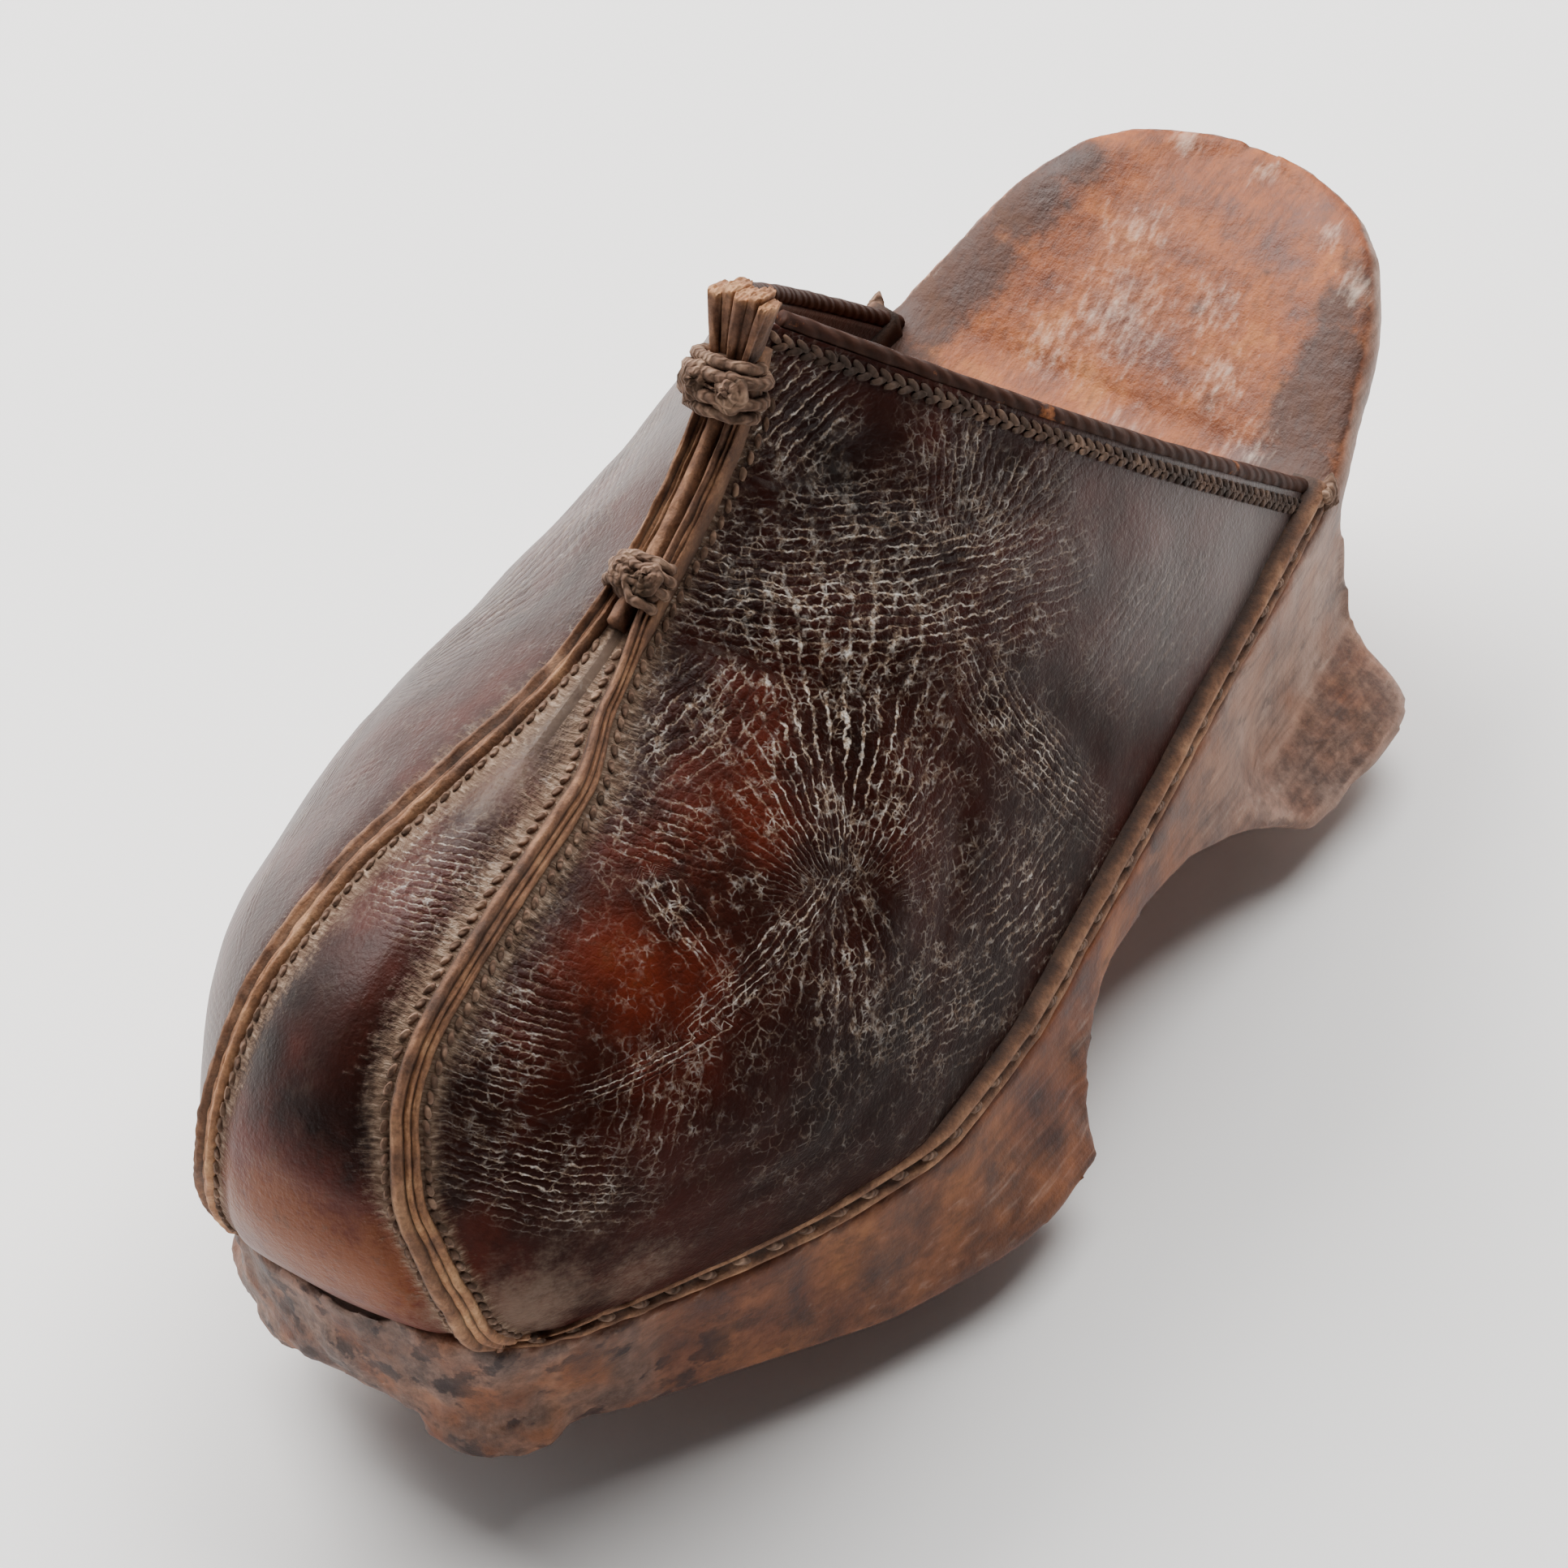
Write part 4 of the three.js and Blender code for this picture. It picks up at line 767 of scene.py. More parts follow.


# Oiled cowhide: IOR 1.45, roughness 0.4 where rubbed and 0.85 where dusty, with a thin polish coat.
# Near black brown, rubbed through to red and orange, with pale dust in its creases and painted
# highlights, near white glints, along the crease and crackle lines. The crease lines are 1.1 to 2
# mm apart, the crackle between them 1 to 2 mm, and the grain is 0.7 mm.
def cowhide():
    hide, place = new_material("oiled_cowhide_creased")
    drift, jitter, broken, patchy, grain, glint, *sparse = [
        node(hide, "TexNoise", Vector=place, Scale=scale, Detail=detail, Roughness=rough)
        for scale, detail, rough in (
            (130.0, 2.0, 0.5),
            (620.0, 2.0, 0.6),
            (330.0, 3.0, 0.7),
            (60.0, 5.0, 0.6),
            (1400.0, 3.0, 0.6),
            (900.0, 4.0, 0.75),
            (146.2, 3.0, 0.6),
            (258.4, 3.0, 0.6),
        )
    ]
    names = ("crackle crease_phase_0 crease_phase_1 crease_0 crease_1 dust seam_run seam_away foot "
             "worn polish film glow dark powder").split()
    painted = {name: (node(hide, "Attribute", {"attribute_name": name}), 2) for name in names}
    beside = node(hide, "CombineXYZ", X=painted["seam_run"], Y=painted["seam_away"])
    beside = node(hide, "Mapping", Vector=beside, Scale=(1.6, 0.4, 1.0))
    streaks = node(hide, "TexNoise", Vector=beside, Scale=1.0, Detail=3.0, Roughness=0.6)

    # Pale marks and raised leather, each as (source, tones, share): first the two layers of crease
    # lines, with pillows between them, and then two sizes of crackle, with small bumps
    lines, bumps = [], []
    for layer, warp in ((0, 1.5), (1, 1.1)):
        away = painted["crease_phase_%d" % layer]
        for source, amount in ((drift, warp), (jitter, 0.95)):
            away = node(hide, "Math", MULTIPLY_ADD, input_0=source, input_1=amount, input_2=away)
        away = node(hide, "Math", {"operation": "PINGPONG"}, input_0=away, input_1=0.5)
        weight = painted["crease_%d" % layer]
        lines.append((away, [(0.0, 1.0), (0.045, 0.82), (0.125, 0.0)], weight))
        bumps.append((away, [(0.0, 0.0), (0.16, 0.62), (0.5, 1.0)], weight))
    settings = {"data_type": "VECTOR"}
    drifted = (node(hide, "Mix", settings, input_0=0.0011, input_4=place, input_5=(jitter, 1)), 1)
    for scale, thin, strength, source in (
        (430.0, 0.03, 0.55, sparse[0]),
        (760.0, 0.045, 0.5, sparse[1]),
    ):
        turned = (0.4, 0.3, scale)
        laid = node(hide, "Mapping", Vector=drifted, Rotation=turned, Scale=(1.0, 0.8, 1.25))
        cells = node(hide, "TexVoronoi", {"feature": "DISTANCE_TO_EDGE"}, Vector=laid, Scale=scale)
        here = node(hide, "ValToRGB", {"stops": [(0.48, 0.0), (0.6, 1.0)]}, Fac=source)
        here = node(hide, "Math", MULTIPLY, input_0=here, input_1=painted["crackle"])
        lines.append((cells, [(0.0, strength), (thin, strength * 0.6), (thin * 2.6, 0.0)], here))
        bumps.append((cells, [(0.0, 0.0), (0.12, 0.5)], painted["crackle"]))
    lines, bumps = [
        [
            node(
                hide,
                "Math",
                MULTIPLY,
                input_0=node(hide, "ValToRGB", {"stops": stops}, Fac=source),
                input_1=share,
            )
            for source, stops, share in found
        ]
        for found in (lines, bumps)
    ]
    line = lines[0]
    for other in lines[1:]:
        line = node(hide, "Math", {"operation": "MAXIMUM"}, input_0=line, input_1=other)

    # The pale line tone is dust with painted highlights: its top stops are near white glints
    shade, seen, rubbed, dust_tone, dust_and_glint_tone = [
        node(hide, "ValToRGB", {"stops": stops}, Fac=source)
        for source, stops in (
            (patchy, [(0.3, "#1b0b07"), (0.5, "#2e120c"), (0.68, "#3f1810")]),
            (broken, [(0.38, 0.05), (0.58, 1.0)]),
            (broken, [(0.3, 0.72), (0.6, 1.0)]),
            (streaks, [(0.35, "#5b4638"), (0.55, "#806a59"), (0.7, "#a8927f")]),
            (glint, [(0.36, "#7d6553"), (0.46, "#b9a28c"), (0.55, "#e9dccd"), (0.64, "#fdf6ee")]),
        )
    ]
    line, rubbed = [
        node(hide, "Math", MULTIPLY, input_0=source, input_1=share)
        for source, share in ((line, seen), (rubbed, painted["worn"]))
    ]
    line = node(hide, "Math", MULTIPLY, input_0=line, input_1=0.95)

    # Sums of patterns over the painted amounts, which give those ragged edges
    sums = {}
    for name, total, patterns in (
        ("glow", rubbed, [(patchy, painted["glow"])]),
        ("powder", painted["powder"], [(grain, 0.5), (broken, 0.6)]),
        ("dust", painted["dust"], [(broken, 0.35), (grain, 0.5), (streaks, 0.6)]),
        ("foot", painted["foot"], [(broken, 0.8)]),
    ):
        for source, amount in patterns:
            total = node(hide, "Math", MULTIPLY_ADD, input_0=source, input_1=amount, input_2=total)
        sums[name] = total
    red, orange, dull, powder, dust, tan = [
        node(hide, "MapRange", SOFT_STEP, Value=source, From_Min=low, From_Max=high, To_Max=top)
        for source, low, high, top in (
            (sums["glow"], 0.6, 1.05, 1.0),
            (sums["glow"], 0.95, 1.45, 0.75),
            (broken, 0.52, 0.72, 0.35),
            (sums["powder"], 0.8, 1.5, 0.6),
            (sums["dust"], 0.9, 1.55, 0.85),
            (sums["foot"], 0.75, 1.2, 0.85),
        )
    ]
    colour = shade
    for share, tone in (
        (red, "#521d10"),
        (orange, "#7a4421"),
        # Darkened spots, partly painted shade on the left quarter
        (painted["dark"], "#150c0a"),
        (dull, "#3a2a22"),
        (powder, "#7f6c5e"),
        (dust, dust_tone),
        (tan, "#855836"),
        # Crease and crackle lines: pale dust with painted highlights
        (line, dust_and_glint_tone),
    ):
        colour = (node(hide, "Mix", COLOURS, input_0=share, input_6=colour, input_7=tone), 2)
    glinting, streaked = [
        node(hide, "Math", MULTIPLY, input_0=pattern, input_1=share)
        for pattern, share in ((glint, line), (streaks, dust))
    ]
    relief = bumps[0]
    for source, amount in (
        (bumps[1], 1.0), (bumps[2], 0.28), (bumps[3], 0.28), (glinting, 0.9),
        (grain, 0.3), (broken, 0.35), (streaked, 1.6),
    ):
        relief = node(hide, "Math", MULTIPLY_ADD, input_0=source, input_1=amount, input_2=relief)
    pale = node(hide, "Math", {"operation": "MAXIMUM"}, input_0=line, input_1=dust)
    looks = {
        "Base_Color": colour,
        "Roughness": node(hide, "ValToRGB", {"stops": [(0.0, 0.4), (0.7, 0.85)]}, Fac=pale),
        "IOR": 1.45,
        "Specular_IOR_Level": painted["polish"],
        "Sheen_Weight": painted["film"],
        "Sheen_Roughness": 0.45,
        "Sheen_Tint": "#d9cfca",
        "Coat_Weight": 0.03,
        "Coat_Roughness": 0.34,
    }
    return close_material(hide, relief, 0.75, 0.55, **looks)


finish_piece(upper, cowhide(), "leather", "upper")


# Raised seams: where a quarter meets the toe panel, the cut edges of both and of a strip between
# them stand up side by side and are sewn through. Dry tan edges, orange where freshly rubbed.
def cut_leather():
    # Vegetable tanned edge, roughness 0.78, fibres 0.7 mm, with painted shade in the grooves
    # between the layers
    edge, place = new_material("cut_leather_edge")
    tone, fibre = [
        node(edge, "TexNoise", Vector=place, Scale=scale, Detail=detail, Roughness=rough)
        for scale, detail, rough in ((170.0, 5.0, 0.65), (1500.0, 4.0, 0.7))
    ]
    deep, light = [
        (node(edge, "Attribute", {"attribute_name": name}), 2) for name in ("groove", "light")
    ]
    colour, tan, flecks = [
        node(edge, "ValToRGB", {"stops": stops}, Fac=source)
        for source, stops in (
            (tone, [(0.32, "#3f2617"), (0.5, "#674430"), (0.66, "#8d6449")]),
            (tone, [(0.32, "#76503a"), (0.5, "#a5744f"), (0.68, "#c6986c")]),
            (fibre, [(0.35, 0.62), (0.6, 1.12)]),
        )
    ]
    # deep: painted shade in the grooves, mixed in near black
    for share, layer, blend in (
        (light, tan, "MIX"), (0.8, flecks, "MULTIPLY"), (deep, "#1f1510", "MIX")
    ):
        settings = {"data_type": "RGBA", "blend_type": blend}
        colour = (node(edge, "Mix", settings, input_0=share, input_6=colour, input_7=layer), 2)
    return close_material(edge, fibre, 0.6, 0.4, Base_Color=colour, Roughness=0.78, IOR=1.5)


def new_piece(name, points, faces):
    mesh = bpy.data.meshes.new(name)
    mesh.from_pydata((points * MM).tolist(), [], faces)
    mesh.update()
    piece = bpy.data.objects.new(name, mesh)
    bpy.context.scene.collection.objects.link(piece)
    return piece


def sweep(name, line, profile):
    """A mesh swept along a line. The profile gives (sideways, outward) points for each station."""
    stations, around = profile.shape[:2]
    points = (
        line["centre"][:, None, :]
        + profile[:, :, 0:1] * line["sideways"][:, None, :]
        + profile[:, :, 1:2] * line["normal"][:, None, :]
    )
    faces = []
    for i in range(stations - 1):
        for j in range(around):
            a, b = i * around + j, i * around + (j + 1) % around
            faces.append((a, b, b + around, a + around))
    faces.append(tuple(reversed(range(around))))
    faces.append(tuple(range((stations - 1) * around, stations * around)))
    piece = new_piece(name, points.reshape(-1, 3), faces)
    work_mesh(piece, bpy.ops.mesh.normals_make_consistent, inside=False)
    return piece


def waves(x, y, z):
    """Noise from about -1 to 1 at places given by numbers and arrays."""
    columns = np.broadcast_arrays(x, y, z)
    return np.array([noise.noise(Vector(place)) for place in np.stack(columns, -1).tolist()])


def layered(half, high, layers, seed):
    """Profile of cut layers side by side: (share of the width, height share, lightness) each."""
    stations = len(half)
    rows = []
    start = -1.0
    for width, height, lightness in layers:
        for k, bulge in enumerate((0.0, 0.62, 0.9, 1.0, 0.93, 0.66)):
            across = start + width * 2 * (k / 5.999)
            # Each row's third value is painted shade, for the groove at the start of a layer
            rows.append((across, height * (0.62 + 0.38 * bulge), 0.0 if k else 0.85, lightness))
        start += width * 2
    first, last = layers[0][2], layers[-1][2]
    # The outer rows, down against the leather, carry painted shade too
    rows = [(-1.06, -0.9, 0.5, first), (-1.04, 0.2, 0.2, first), *rows]
    rows += [(1.04, 0.2, 0.2, last), (1.06, -0.9, 0.5, last)]
    across, up, deep, light = np.transpose(rows)
    profile = np.stack([half[:, None] * across, high[:, None] * up], -1)
    i = np.arange(stations)
    for j in range(len(across)):
        profile[:, j, 1] += 0.16 * high * waves(i * 0.23, j * 0.5, seed)
        profile[:, j, 0] += 0.07 * half * waves(i * 0.17, j * 0.3, seed + 9)
    return profile, np.tile(deep, stations), np.tile(light, stations)


edge_finish = cut_leather()
SEAMS = [
    # name, side, seed, layers
    ("left", 1, 3.0, [(0.48, 1.0, 0.35), (0.26, 0.68, 0.95), (0.26, 0.5, 0.7)]),
    ("right", -1, 5.0, [(0.4, 1.0, 0.3), (0.3, 0.5, 0.6), (0.3, 0.62, 0.9)]),
]
seam_lines = {side: seam_line(side, 260) for side in (1, -1)}
for name, side, seed, layers in SEAMS:
    line = seam_lines[side]
    hoop = line["hoop"]
    high = SEAM_HEIGHT * (0.92 - 0.18 * smooth_rise(5, 8, hoop))
    slim = 1 - 0.26 * smooth_rise(2.6, 3.4, hoop) * (1 - 0.75 * smooth_rise(6.5, 8.5, hoop))
    profile, deep, light = layered(line["half"] * slim, high, layers, seed)
    seam = sweep("raised_seam_" + name, line, profile)
    rubbed = 0.45 + 0.65 * np.repeat(smooth_rise(5.0, 8, hoop), profile.shape[1])
    # Painted shade in the grooves between the cut layers
    paint(seam, "groove", deep * 0.9)
    paint(seam, "light", np.clip(light * rubbed, 0, 1))
    finish_piece(seam, edge_finish, "raw_leather", "seam_" + name)

# The toe panel's tail runs up between the two seams as a rounded brown cord
TAIL_STATIONS = 90
centre, normal, _ = crown_line(np.linspace(TAIL_END, TAIL_START + 0.35, TAIL_STATIONS))
sideways = np.tile([0.0, 1.0, 0.0], (TAIL_STATIONS, 1))
line = {"centre": centre, "normal": normal, "sideways": sideways}
half, high = np.full((2, TAIL_STATIONS), [[TAIL_WIDTH * 0.55], [SEAM_HEIGHT * 1.02]])
profile, deep, light = layered(half, high, [(1.0, 1.0, 0.25)], 8.0)
tail = sweep("panel_tail_cord", line, profile)
# Painted shade along the cord's edges
paint(tail, "groove", deep)
paint(tail, "light", light)
finish_piece(tail, edge_finish, "raw_leather", "panel_tail")


# Stitching: waxed linen thread, grey-brown with dust, in short back stitches beside each raised
# seam, in a braided double row under the collar, and in long stitches along the foot strips.
STITCH_STEP = 2.2


def linen_thread():
    # Twisted linen 0.8 mm thick, roughness 0.9, with the slant of its strands painted in light and
    # shade
    thread, place = new_material("dusty_linen_thread")
    tone = node(thread, "TexNoise", Vector=place, Scale=300.0, Detail=4.0, Roughness=0.6)
    diagonal = {"bands_direction": "DIAGONAL"}
    twist = node(thread, "TexWave", diagonal, Vector=place, Scale=520.0, Distortion=4.0, Detail=2.0)
    soot = (node(thread, "Attribute", {"attribute_name": "soot"}), 2)
    colour, strand_shading = [
        node(thread, "ValToRGB", {"stops": stops}, Fac=source)
        for source, stops in (
            (tone, [(0.3, "#46311f"), (0.5, "#6b5040"), (0.68, "#987a64")]),
            ((twist, 0), [(0.1, 0.6), (0.7, 1.1)]),
        )
    ]
    # The twist's bands brighten and darken the colour: painted highlight on the strands, painted
    # shade between
    for share, layer, blend in ((0.7, strand_shading, "MULTIPLY"), (soot, "#2b1f18", "MIX")):
        settings = {"data_type": "RGBA", "blend_type": blend}
        colour = (node(thread, "Mix", settings, input_0=share, input_6=colour, input_7=layer), 2)
    return close_material(thread, (twist, 1), 0.7, 0.3, Base_Color=colour, Roughness=0.9, IOR=1.5)


def stitches(name, places):
    """One mesh of many stitches. Each place is (centre, along, outward, long, wide, high)."""
    bpy.ops.object.select_all(action="DESELECT")
    bpy.ops.mesh.primitive_ico_sphere_add(subdivisions=2, radius=1)
    seed_piece = bpy.context.object
    base = points_of(seed_piece, scale=1)
    faces = [tuple(p.vertices) for p in seed_piece.data.polygons]
    bpy.data.objects.remove(seed_piece)
    points, all_faces = [], []
    for k, (centre, forward, outward, long, wide, high) in enumerate(places):
        axes = [forward * long / 2, np.cross(outward, forward) * wide / 2, outward * high / 2]
        points.append(centre + base * (1 + 0.12 * np.sin(base[:, ::-1] * 5 + k)) @ axes)
        all_faces += [tuple(v + k * len(base) for v in f) for f in faces]
    return new_piece(name, np.concatenate(points), all_faces)


def evenly(line, spacing, skip):
    """Shares of a line's stations that lie evenly spaced along it."""
    run = run_lengths(line)
    return np.interp(np.arange(skip, run[-1], spacing), run, np.arange(len(run)))


def at_station(values, index):
    low = np.clip(index.astype(int), 0, len(values) - 2)
    share = (index - low)[:, None] if values.ndim > 1 else index - low
    return values[low] * (1 - share) + values[low + 1] * share


def onto_leather(points, outward, height):
    """Moves points along their normals to a height over the creased leather."""
    tree = BVHTree.FromObject(upper, bpy.context.evaluated_depsgraph_get())
    moved = points.copy()
    for i, (point, normal) in enumerate(zip(points, outward)):
        hit = tree.ray_cast(Vector((point + normal * 8) * MM), Vector(-normal), 0.02)[0]
        if hit is not None:
            moved[i] = np.array(hit) / MM + normal * height
    return moved


thread_finish = linen_thread()
places = []
for side, line in seam_lines.items():
    for outer in (1, -1):
        index = evenly(line["centre"], STITCH_STEP, 3.0)
        inner = outer != side
        index = index[at_station(line["hoop"], index) > (TAIL_START + 0.5 if inner else 0.9)]
        centre, sideways, half = [
            at_station(line[key], index) for key in ("centre", "sideways", "half")
        ]
        outward, forward = [unit(at_station(line[key], index)) for key in ("normal", "forward")]
        offset = outer * (half * (0.8 if inner else 0.9) + 0.8)
        laid = onto_leather(centre + sideways * offset[:, None], outward, 0.12)
        slant = unit(forward + 0.35 * outer * sideways)
        places += [(*place, 2.0, 1.0, 0.9) for place in zip(laid, slant, outward)]
finish_piece(stitches("seam_stitching", places), thread_finish, "thread")

# Braided double row under the collar, 3 to 6 mm below the edge
places = []
for side in (1, -1):
    turns = side * (1 - (1 - np.linspace(0.12, 0.995, 240)) ** 1.6)
    for hoop, skip, lean in ((0.12, 1.0, -0.55), (0.2, 2.1, 0.55)):
        line = leather(hoop, turns)
        index = evenly(line, STITCH_STEP, skip)
        forward = unit(at_station(np.gradient(line, axis=0), index))
        outward = leather_normal(np.full(len(index), hoop), at_station(turns, index))
        laid = onto_leather(at_station(line, index), outward, 0.2)
        slant = unit(forward + lean * np.cross(outward, forward))
        places += [(*place, 2.6, 1.15, 0.7) for place in zip(laid, slant, outward)]
braid = stitches("collar_stitching", places)
paint(braid, "soot", np.clip(0.6 + 0.45 * cloudy(points_of(braid), 5, 8, 2), 0, 1))
finish_piece(braid, thread_finish, "thread")


# Collar binding: a strip of thin leather rolled over the cut edge and whipped down, dark and
# polished, rubbed through to orange in places.
BINDING_RADIUS = 1.25
BINDING_STATIONS = 220
BINDING_SIDES = 14


def rolled_leather():
    # Rolled thin hide, roughness 0.7, with fine whipping lines across it and worn spots
    rolled, place = new_material("rolled_collar_leather")
    tone = node(rolled, "TexNoise", Vector=place, Scale=120.0, Detail=6.0, Roughness=0.7)
    bands = {"Scale": 140.0, "Distortion": 3.0, "Detail": 3.0, "Detail_Scale": 2.0}
    whip = node(rolled, "TexWave", {"bands_direction": "X"}, Vector=place, **bands)
    tones = [(0.3, "#27150e"), (0.5, "#3a2116"), (0.6, "#38211a"), (0.67, "#8a5330")]
    tones += [(0.74, "#a9703f")]
    colour = node(rolled, "ValToRGB", {"stops": tones}, Fac=tone)
    shade = node(rolled, "ValToRGB", {"stops": [(0.0, 0.6), (0.4, 1.0)]}, Fac=whip)
    settings = {"data_type": "RGBA", "blend_type": "MULTIPLY"}
    colour = (node(rolled, "Mix", settings, input_0=0.7, input_6=colour, input_7=shade), 2)
    looks = {"Base_Color": colour, "Roughness": 0.7, "IOR": 1.5, "Specular_IOR_Level": 0.15}
    return close_material(rolled, (whip, 1), 0.6, 0.4, **looks)


rolled_finish = rolled_leather()
back = np.array([-1, 0, 1]) / math.sqrt(2)
around = 2 * math.pi * np.arange(BINDING_SIDES) / BINDING_SIDES
for side_name, side in (("left", 1), ("right", -1)):
    turns = side * (1 - (1 - np.linspace(0.14, 0.998, BINDING_STATIONS)) ** 1.7)
    inward = leather_normal(np.zeros(BINDING_STATIONS), turns) * (-LEATHER_WALL / 2)
    centre = leather(0.0, turns) + inward + back * (BINDING_RADIUS * 0.75)
    forward = unit(np.gradient(centre, axis=0))
    across = np.cross(back, forward)
    line = {"centre": centre, "normal": unit(np.cross(forward, across)), "sideways": unit(across)}
    bulk = BINDING_RADIUS * (1 + 0.1 * waves(np.arange(BINDING_STATIONS) * 0.12, 0, side * 4))
    profile = bulk[:, None, None] * np.stack([1.12 * np.cos(around), np.sin(around)], -1)
    binding = sweep("collar_roll_" + side_name, line, profile)
    finish_piece(binding, rolled_finish, "binding", "collar_binding_" + side_name)


# Foot strips: a strip of leather along each quarter's foot, folded into a dusty ridge and laced to
# the wood with long stitches, with a thread knot at its rear end.
WELT_HEIGHT = 5
WELT_THICKNESS = 2
WELT_KNOT = 3.1
WELT_STATIONS = 240
WELT_ROWS = [
    # up, out, groove (painted shade), lightness: from under the strip, over its lip, into a groove,
    # over a cord
    (0.0, -1.6, 0.6, 0.1), (0.02, 0.5, 0.3, 0.3), (0.08, 0.95, 0, 0.55), (0.2, 1.05, 0, 0.4),
    (0.33, 0.9, 0.1, 0.12), (0.42, 0.55, 0.7, 0.05), (0.5, 0.5, 0.85, 0.05), (0.58, 0.75, 0.3, 0.2),
    (0.7, 0.95, 0, 0.4), (0.84, 0.9, 0, 0.3), (0.95, 0.6, 0.2, 0.1), (1.0, 0.1, 0.7, 0.02),
    (0.98, -1.6, 0.8, 0.02),
]
places = []
for side_name, side, last_hoop in (("left", 1, 10.75), ("right", -1, 10.4)):
    hoop = np.linspace(0.02, last_hoop, WELT_STATIONS)
    centre = leather(hoop, float(side))
    high = WELT_HEIGHT * (1 - 0.25 * smooth_rise(7, 9, hoop) - 0.38 * smooth_rise(9, 9.9, hoop))
    ragged = 1 + 1.6 * smooth_rise(7, 9.6, hoop)
    forward = unit(np.gradient(centre, axis=0))
    normal = unit(np.cross(forward, [0, 0, 1])) * -side
    upward = unit(np.cross(forward, normal)) * side
    profile = np.empty((WELT_STATIONS, len(WELT_ROWS), 2))
    for j, (up, out, _, _) in enumerate(WELT_ROWS):
        wave = ragged * waves(np.arange(WELT_STATIONS) * 0.2, j * 0.4, 11 + side)
        profile[:, j, 0] = high * up + 0.25 * wave * (0.2 < up)
        profile[:, j, 1] = WELT_THICKNESS * out + 0.22 * wave
    line = {"centre": centre, "normal": normal, "sideways": upward}
    welt = sweep("foot_strip_" + side_name, line, profile)
    # Painted shade under the strip and in its groove
    paint(welt, "groove", np.tile([row[2] for row in WELT_ROWS], WELT_STATIONS))
    paint(welt, "light", np.tile([row[3] for row in WELT_ROWS], WELT_STATIONS))
    finish_piece(welt, edge_finish, "raw_leather", "welt_" + side_name)
    index = evenly(centre, 5.2, 2.0)
    outward, slant = [unit(at_station(values, index)) for values in (normal, forward)]
    up = at_station(upward, index) * (at_station(high, index) * 0.48)[:, None]
    laid = at_station(centre, index) + up + outward * (WELT_THICKNESS * 0.72)
    slant = unit(slant + [0, 0, 0.5])
    places += [(*place, 3.4, 1.5, 1.3) for place in zip(laid, slant, outward)]
    # Rear knot: turns of thread in a ball
    for spin in np.arange(7) * 2.4:
        tilt = unit(np.array([math.cos(spin), 0.3 * side, math.sin(spin)]))
        middle = centre[0] + [0.2, side * 1.6, 0.55 * WELT_KNOT] + 0.8 * tilt * [1, 1, 1.4]
        slant = unit(np.array([math.sin(spin), 0.2, math.cos(spin)]))
        places.append((middle, slant, np.array([0, float(side), 0]), 4.6, 1.9, 2.6))
finish_piece(stitches("foot_stitching", places), thread_finish, "thread")


# Thread knots: whipping wound round the seams where they part and again at the collar, and pulled
# into two whorls on top.
def winding(name, centre, axes, turns, thick, seed):
    """Thread wound over a rounded body: bands across it, then two whorls on its top. The axes are
    the body's half lengths forward, sideways and outward."""
    steps = int(26 * turns)
    t = np.arange(steps + 1) / steps
    angle = 2 * math.pi * turns * t
    belly = np.sqrt(np.maximum(1 - ((t - 0.5) * 1.7 * 0.75) ** 2, 0.1))
    fore = (t - 0.5) * 1.7 + 0.08 * np.sin(angle * 0.37 + seed)
    bands = [np.stack([fore, belly * np.cos(angle), belly * np.sin(angle)], -1)]
    t = np.arange(50) / 49
    angle = 2 * math.pi * 2.2 * t + seed
    reach = 0.12 + 0.48 * t
    for whorl in (-1, 1):
        across = 0.45 * whorl + reach * 0.62 * np.cos(angle)
        bands.append(np.stack([reach * 0.95 * np.sin(angle), across, 1.1 - 0.35 * t], -1))
    way = (centre + np.concatenate(bands) @ axes) * MM
    data = bpy.data.curves.new(name, "CURVE")
    data.dimensions = "3D"
    data.bevel_depth = thick * MM
    data.bevel_resolution = 2
    spline = data.splines.new("POLY")
    spline.points.add(len(way) - 1)
    for i, place in enumerate(way):
        spline.points[i].co = (*place, 1)
        spline.points[i].radius = 1 + 0.15 * math.sin(i * 1.7 + seed)
    curve = bpy.data.objects.new(name, data)
    bpy.context.scene.collection.objects.link(curve)
    select_only(curve)
    bpy.ops.object.convert(target="MESH")
    return bpy.context.object


def join(pieces):
    """Makes one piece of several, under the first one's name."""
    select_only(pieces[0])
    for piece in pieces[1:]:
        piece.select_set(True)
    bpy.ops.object.join()
    return bpy.context.object


for name, hoop, height, size, turns, thick, seed in (
    ("lower", 2.45, 1.3, (3.7, 4.3, 2.9), 3.2, 0.75, 1),
    ("upper", 0.78, 2.0, (4.5, 5.7, 4.0), 3.4, 0.95, 2),
):
    centre, outward, fore = [values[0] for values in crown_line(np.array([hoop]))]
    centre = centre + outward * height
    axes = np.array([fore, np.cross(outward, fore), outward])
    thread = winding("thread_knot_" + name, centre, axes * np.transpose([size]), turns, thick, seed)
    bpy.ops.object.select_all(action="DESELECT")
    bpy.ops.mesh.primitive_uv_sphere_add(segments=28, ring_count=18, radius=1)
    core = bpy.context.object
    ball = points_of(core, scale=1)
    shape = centre + ball * [0.95, 0.92, 0.92] * size @ axes
    move_points(core, shape + 0.25 * cloudy(shape, 2.4, seed)[:, None] * (ball @ axes))
    finish_piece(join([thread, core]), thread_finish, "thread", "knot_" + name)


# Split end of the seam bundle: the layers' ends stand up past the upper knot, cut off square, with
# fibres fraying out of their tops.
STUB_HEIGHT = 9.5
STUB_CENTRE = np.array([14.5, 0.392, 129.0])
STUB_UP = unit(np.array([-0.36, 0, 0.93]))
STUB_AXES = np.array([[0, 1, 0], unit(np.cross([0, 1, 0], STUB_UP)), STUB_UP])
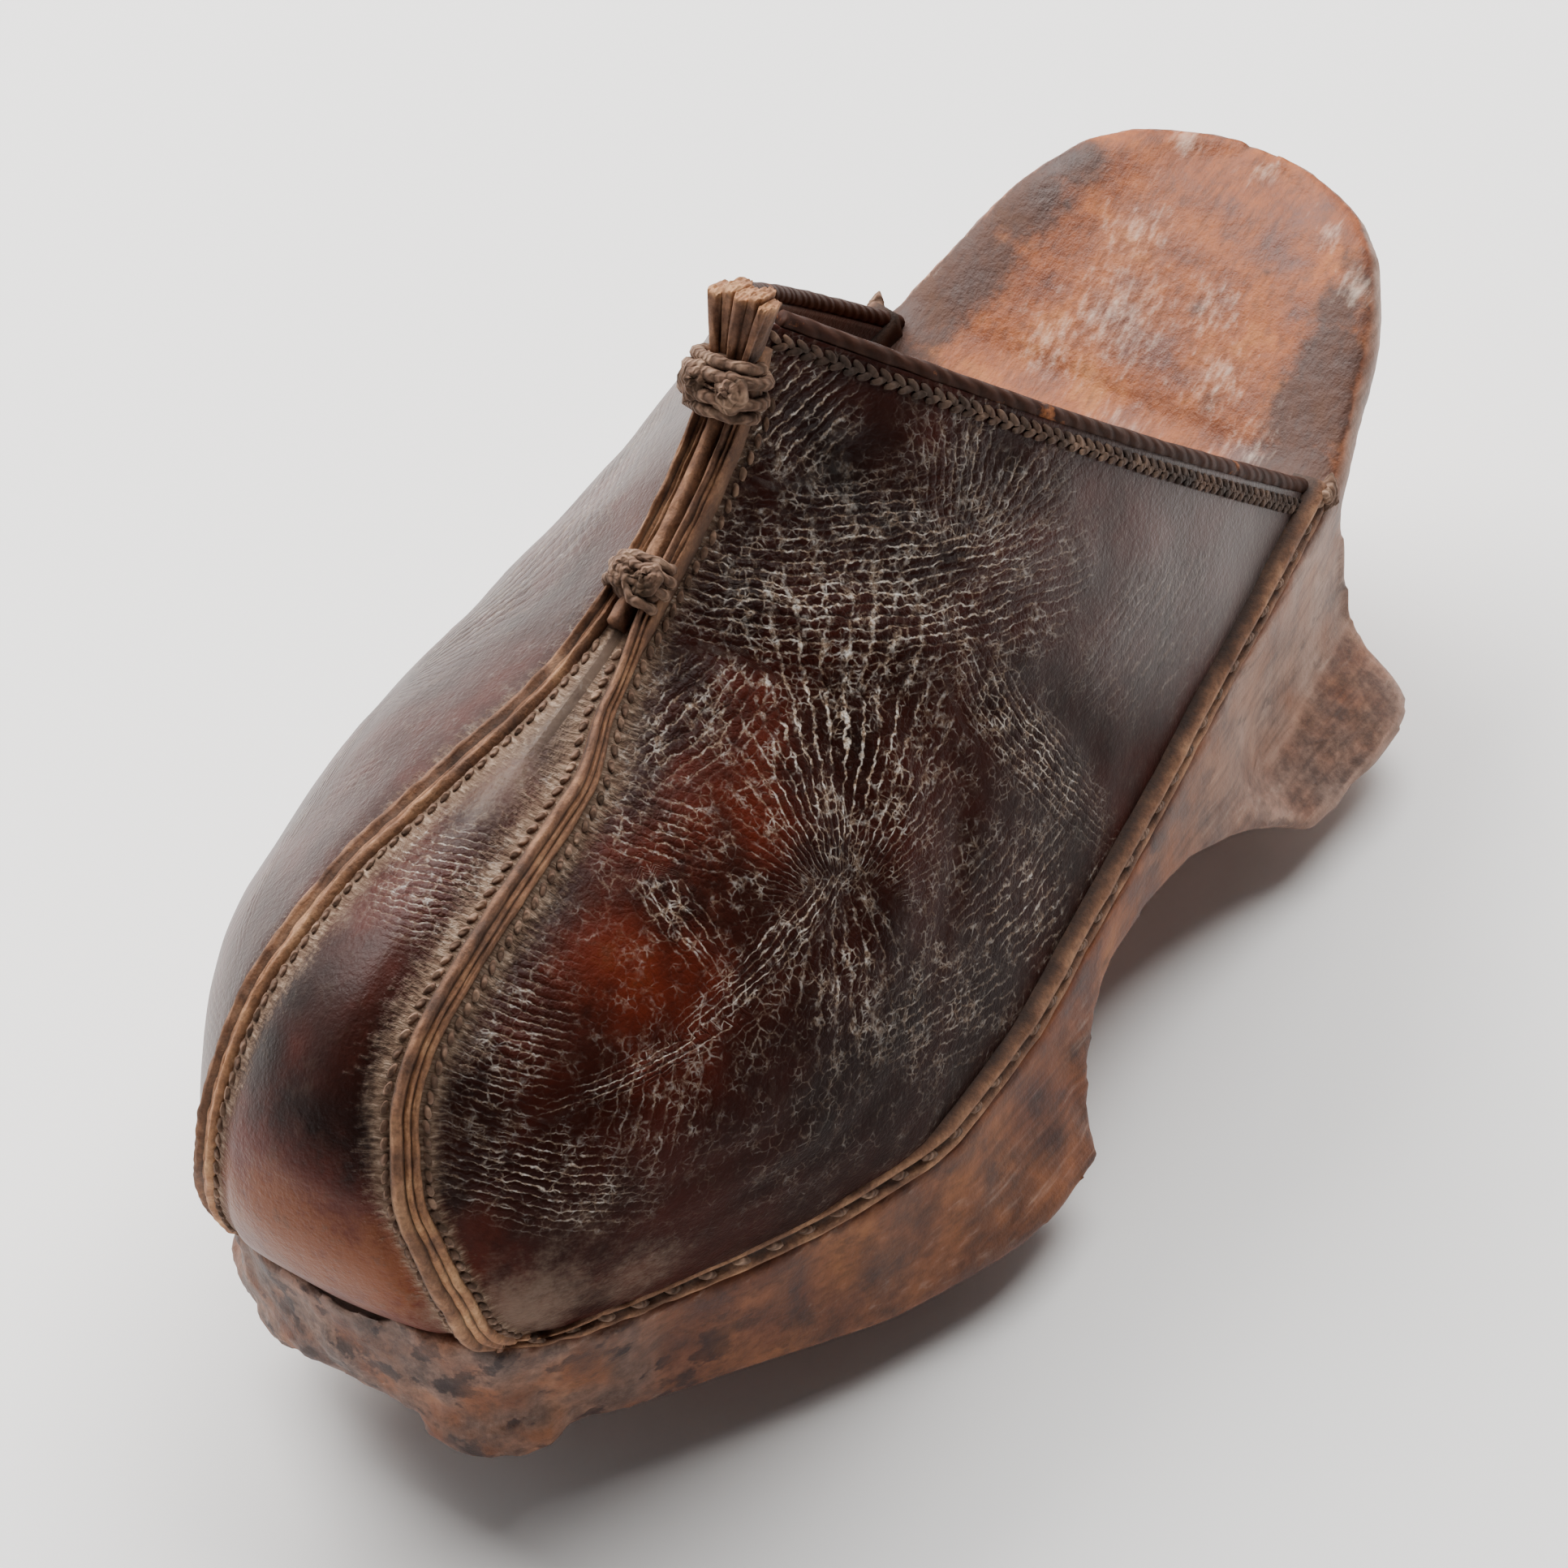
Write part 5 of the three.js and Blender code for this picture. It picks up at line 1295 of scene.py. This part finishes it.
# sideways place, forward place, thickness, depth, share of the height
TONGUES = [
    (-3.7, 0.2, 2.1, 4.6, 0.9), (-1.7, -0.5, 2.2, 5.2, 1.0), (0.4, 0.3, 2.0, 5.0, 0.97),
    (2.2, -0.2, 1.9, 4.8, 1.02), (3.9, 0.4, 1.7, 4.2, 0.93),
]
tongues = []
for k, (offset, fore, thick, deep, tall) in enumerate(TONGUES):
    bpy.ops.object.select_all(action="DESELECT")
    bpy.ops.mesh.primitive_cube_add(size=2)
    tongue = bpy.context.object
    work_mesh(tongue, bpy.ops.mesh.subdivide, number_cuts=9)
    a, b, c = points_of(tongue, scale=1).T
    height = (c + 1) / 2
    girth = 0.5 * (1 - 0.25 * np.abs(a) ** 4 * np.abs(b) ** 4) * (0.8 + 0.28 * height)
    wave = waves(a * 1.3 + k, b * 1.7, c * 1.1)
    frayed = (c > 0.9) * waves(a * 4 + k * 3, b * 4, 7)
    side_mm = offset * (0.62 + 0.4 * height) + thick * a * girth + 0.35 * wave
    fore_mm = fore + deep * b * girth + 0.5 * wave * height
    up_mm = STUB_HEIGHT * tall * height - 1.5 + frayed
    move_points(tongue, STUB_CENTRE + np.stack([side_mm, fore_mm, up_mm], -1) @ STUB_AXES)
    # Painted shade low on the tongues' sides, between them
    paint(tongue, "groove", np.clip(0.75 * (np.abs(a) > 0.9) * (1 - height), 0, 1))
    paint(tongue, "light", np.clip(0.05 + 0.8 * smooth_rise(0.86, 1.0, height) + 0.2 * wave, 0, 1))
    tongues.append(tongue)
stub = join(tongues)
stub.name = "seam_end_tongues"
apply_modifier(stub, "SUBSURF", levels=1, render_levels=1)
finish_piece(stub, edge_finish, "raw_leather", "seam_stub")


# Floor and light: a pale seamless floor under two large soft panels, from the wearer's right and
# from behind above the heel, and a world that is darker on the camera's side of the shoe.
bpy.ops.object.select_all(action="DESELECT")
bpy.ops.mesh.primitive_plane_add(size=14, location=(0, 0, -0.0002))
floor = bpy.context.object
floor.name = "floor"
paper, _ = new_material("pale_studio_floor")
shader = node(paper, "BsdfPrincipled", Base_Color="#ffffff", Roughness=0.85)
node(paper, "OutputMaterial", Surface=shader)
floor.data.materials.append(paper)

world = bpy.data.worlds.new("studio")
bpy.context.scene.world = world
world.use_nodes = True
world.node_tree.nodes.clear()
sky = node(world, "TexCoord")
camera_side = (0.45, 0.72, 0.53)
toward = node(world, "VectorMath", {"operation": "DOT_PRODUCT"}, input_0=sky, input_1=camera_side)
stops = [(0.0, 1.0), (0.18, 0.55), (0.45, 0.05)]
bright = node(world, "ValToRGB", {"stops": stops}, Fac=(toward, 1))
node(world, "OutputWorld", Surface=node(world, "Background", Color=bright, Strength=0.9))

for name, place, watts, colour in (
    ("key_panel", (-0.35, -1.25, 1.35), 66, (1.0, 0.97, 0.94)),
    ("top_panel", (-0.75, 0.0, 1.6), 38, (1.0, 0.98, 0.96)),
):
    data = bpy.data.lights.new(name, "AREA")
    data.shape = "RECTANGLE"
    data.size = data.size_y = 1.3
    data.energy = watts
    data.color = colour
    lamp = bpy.data.objects.new(name, data)
    lamp.location = place
    lamp.rotation_mode = "QUATERNION"
    lamp.rotation_quaternion = (Vector((0, 0, 0.05)) - Vector(place)).to_track_quat("-Z", "Y")
    bpy.context.scene.collection.objects.link(lamp)
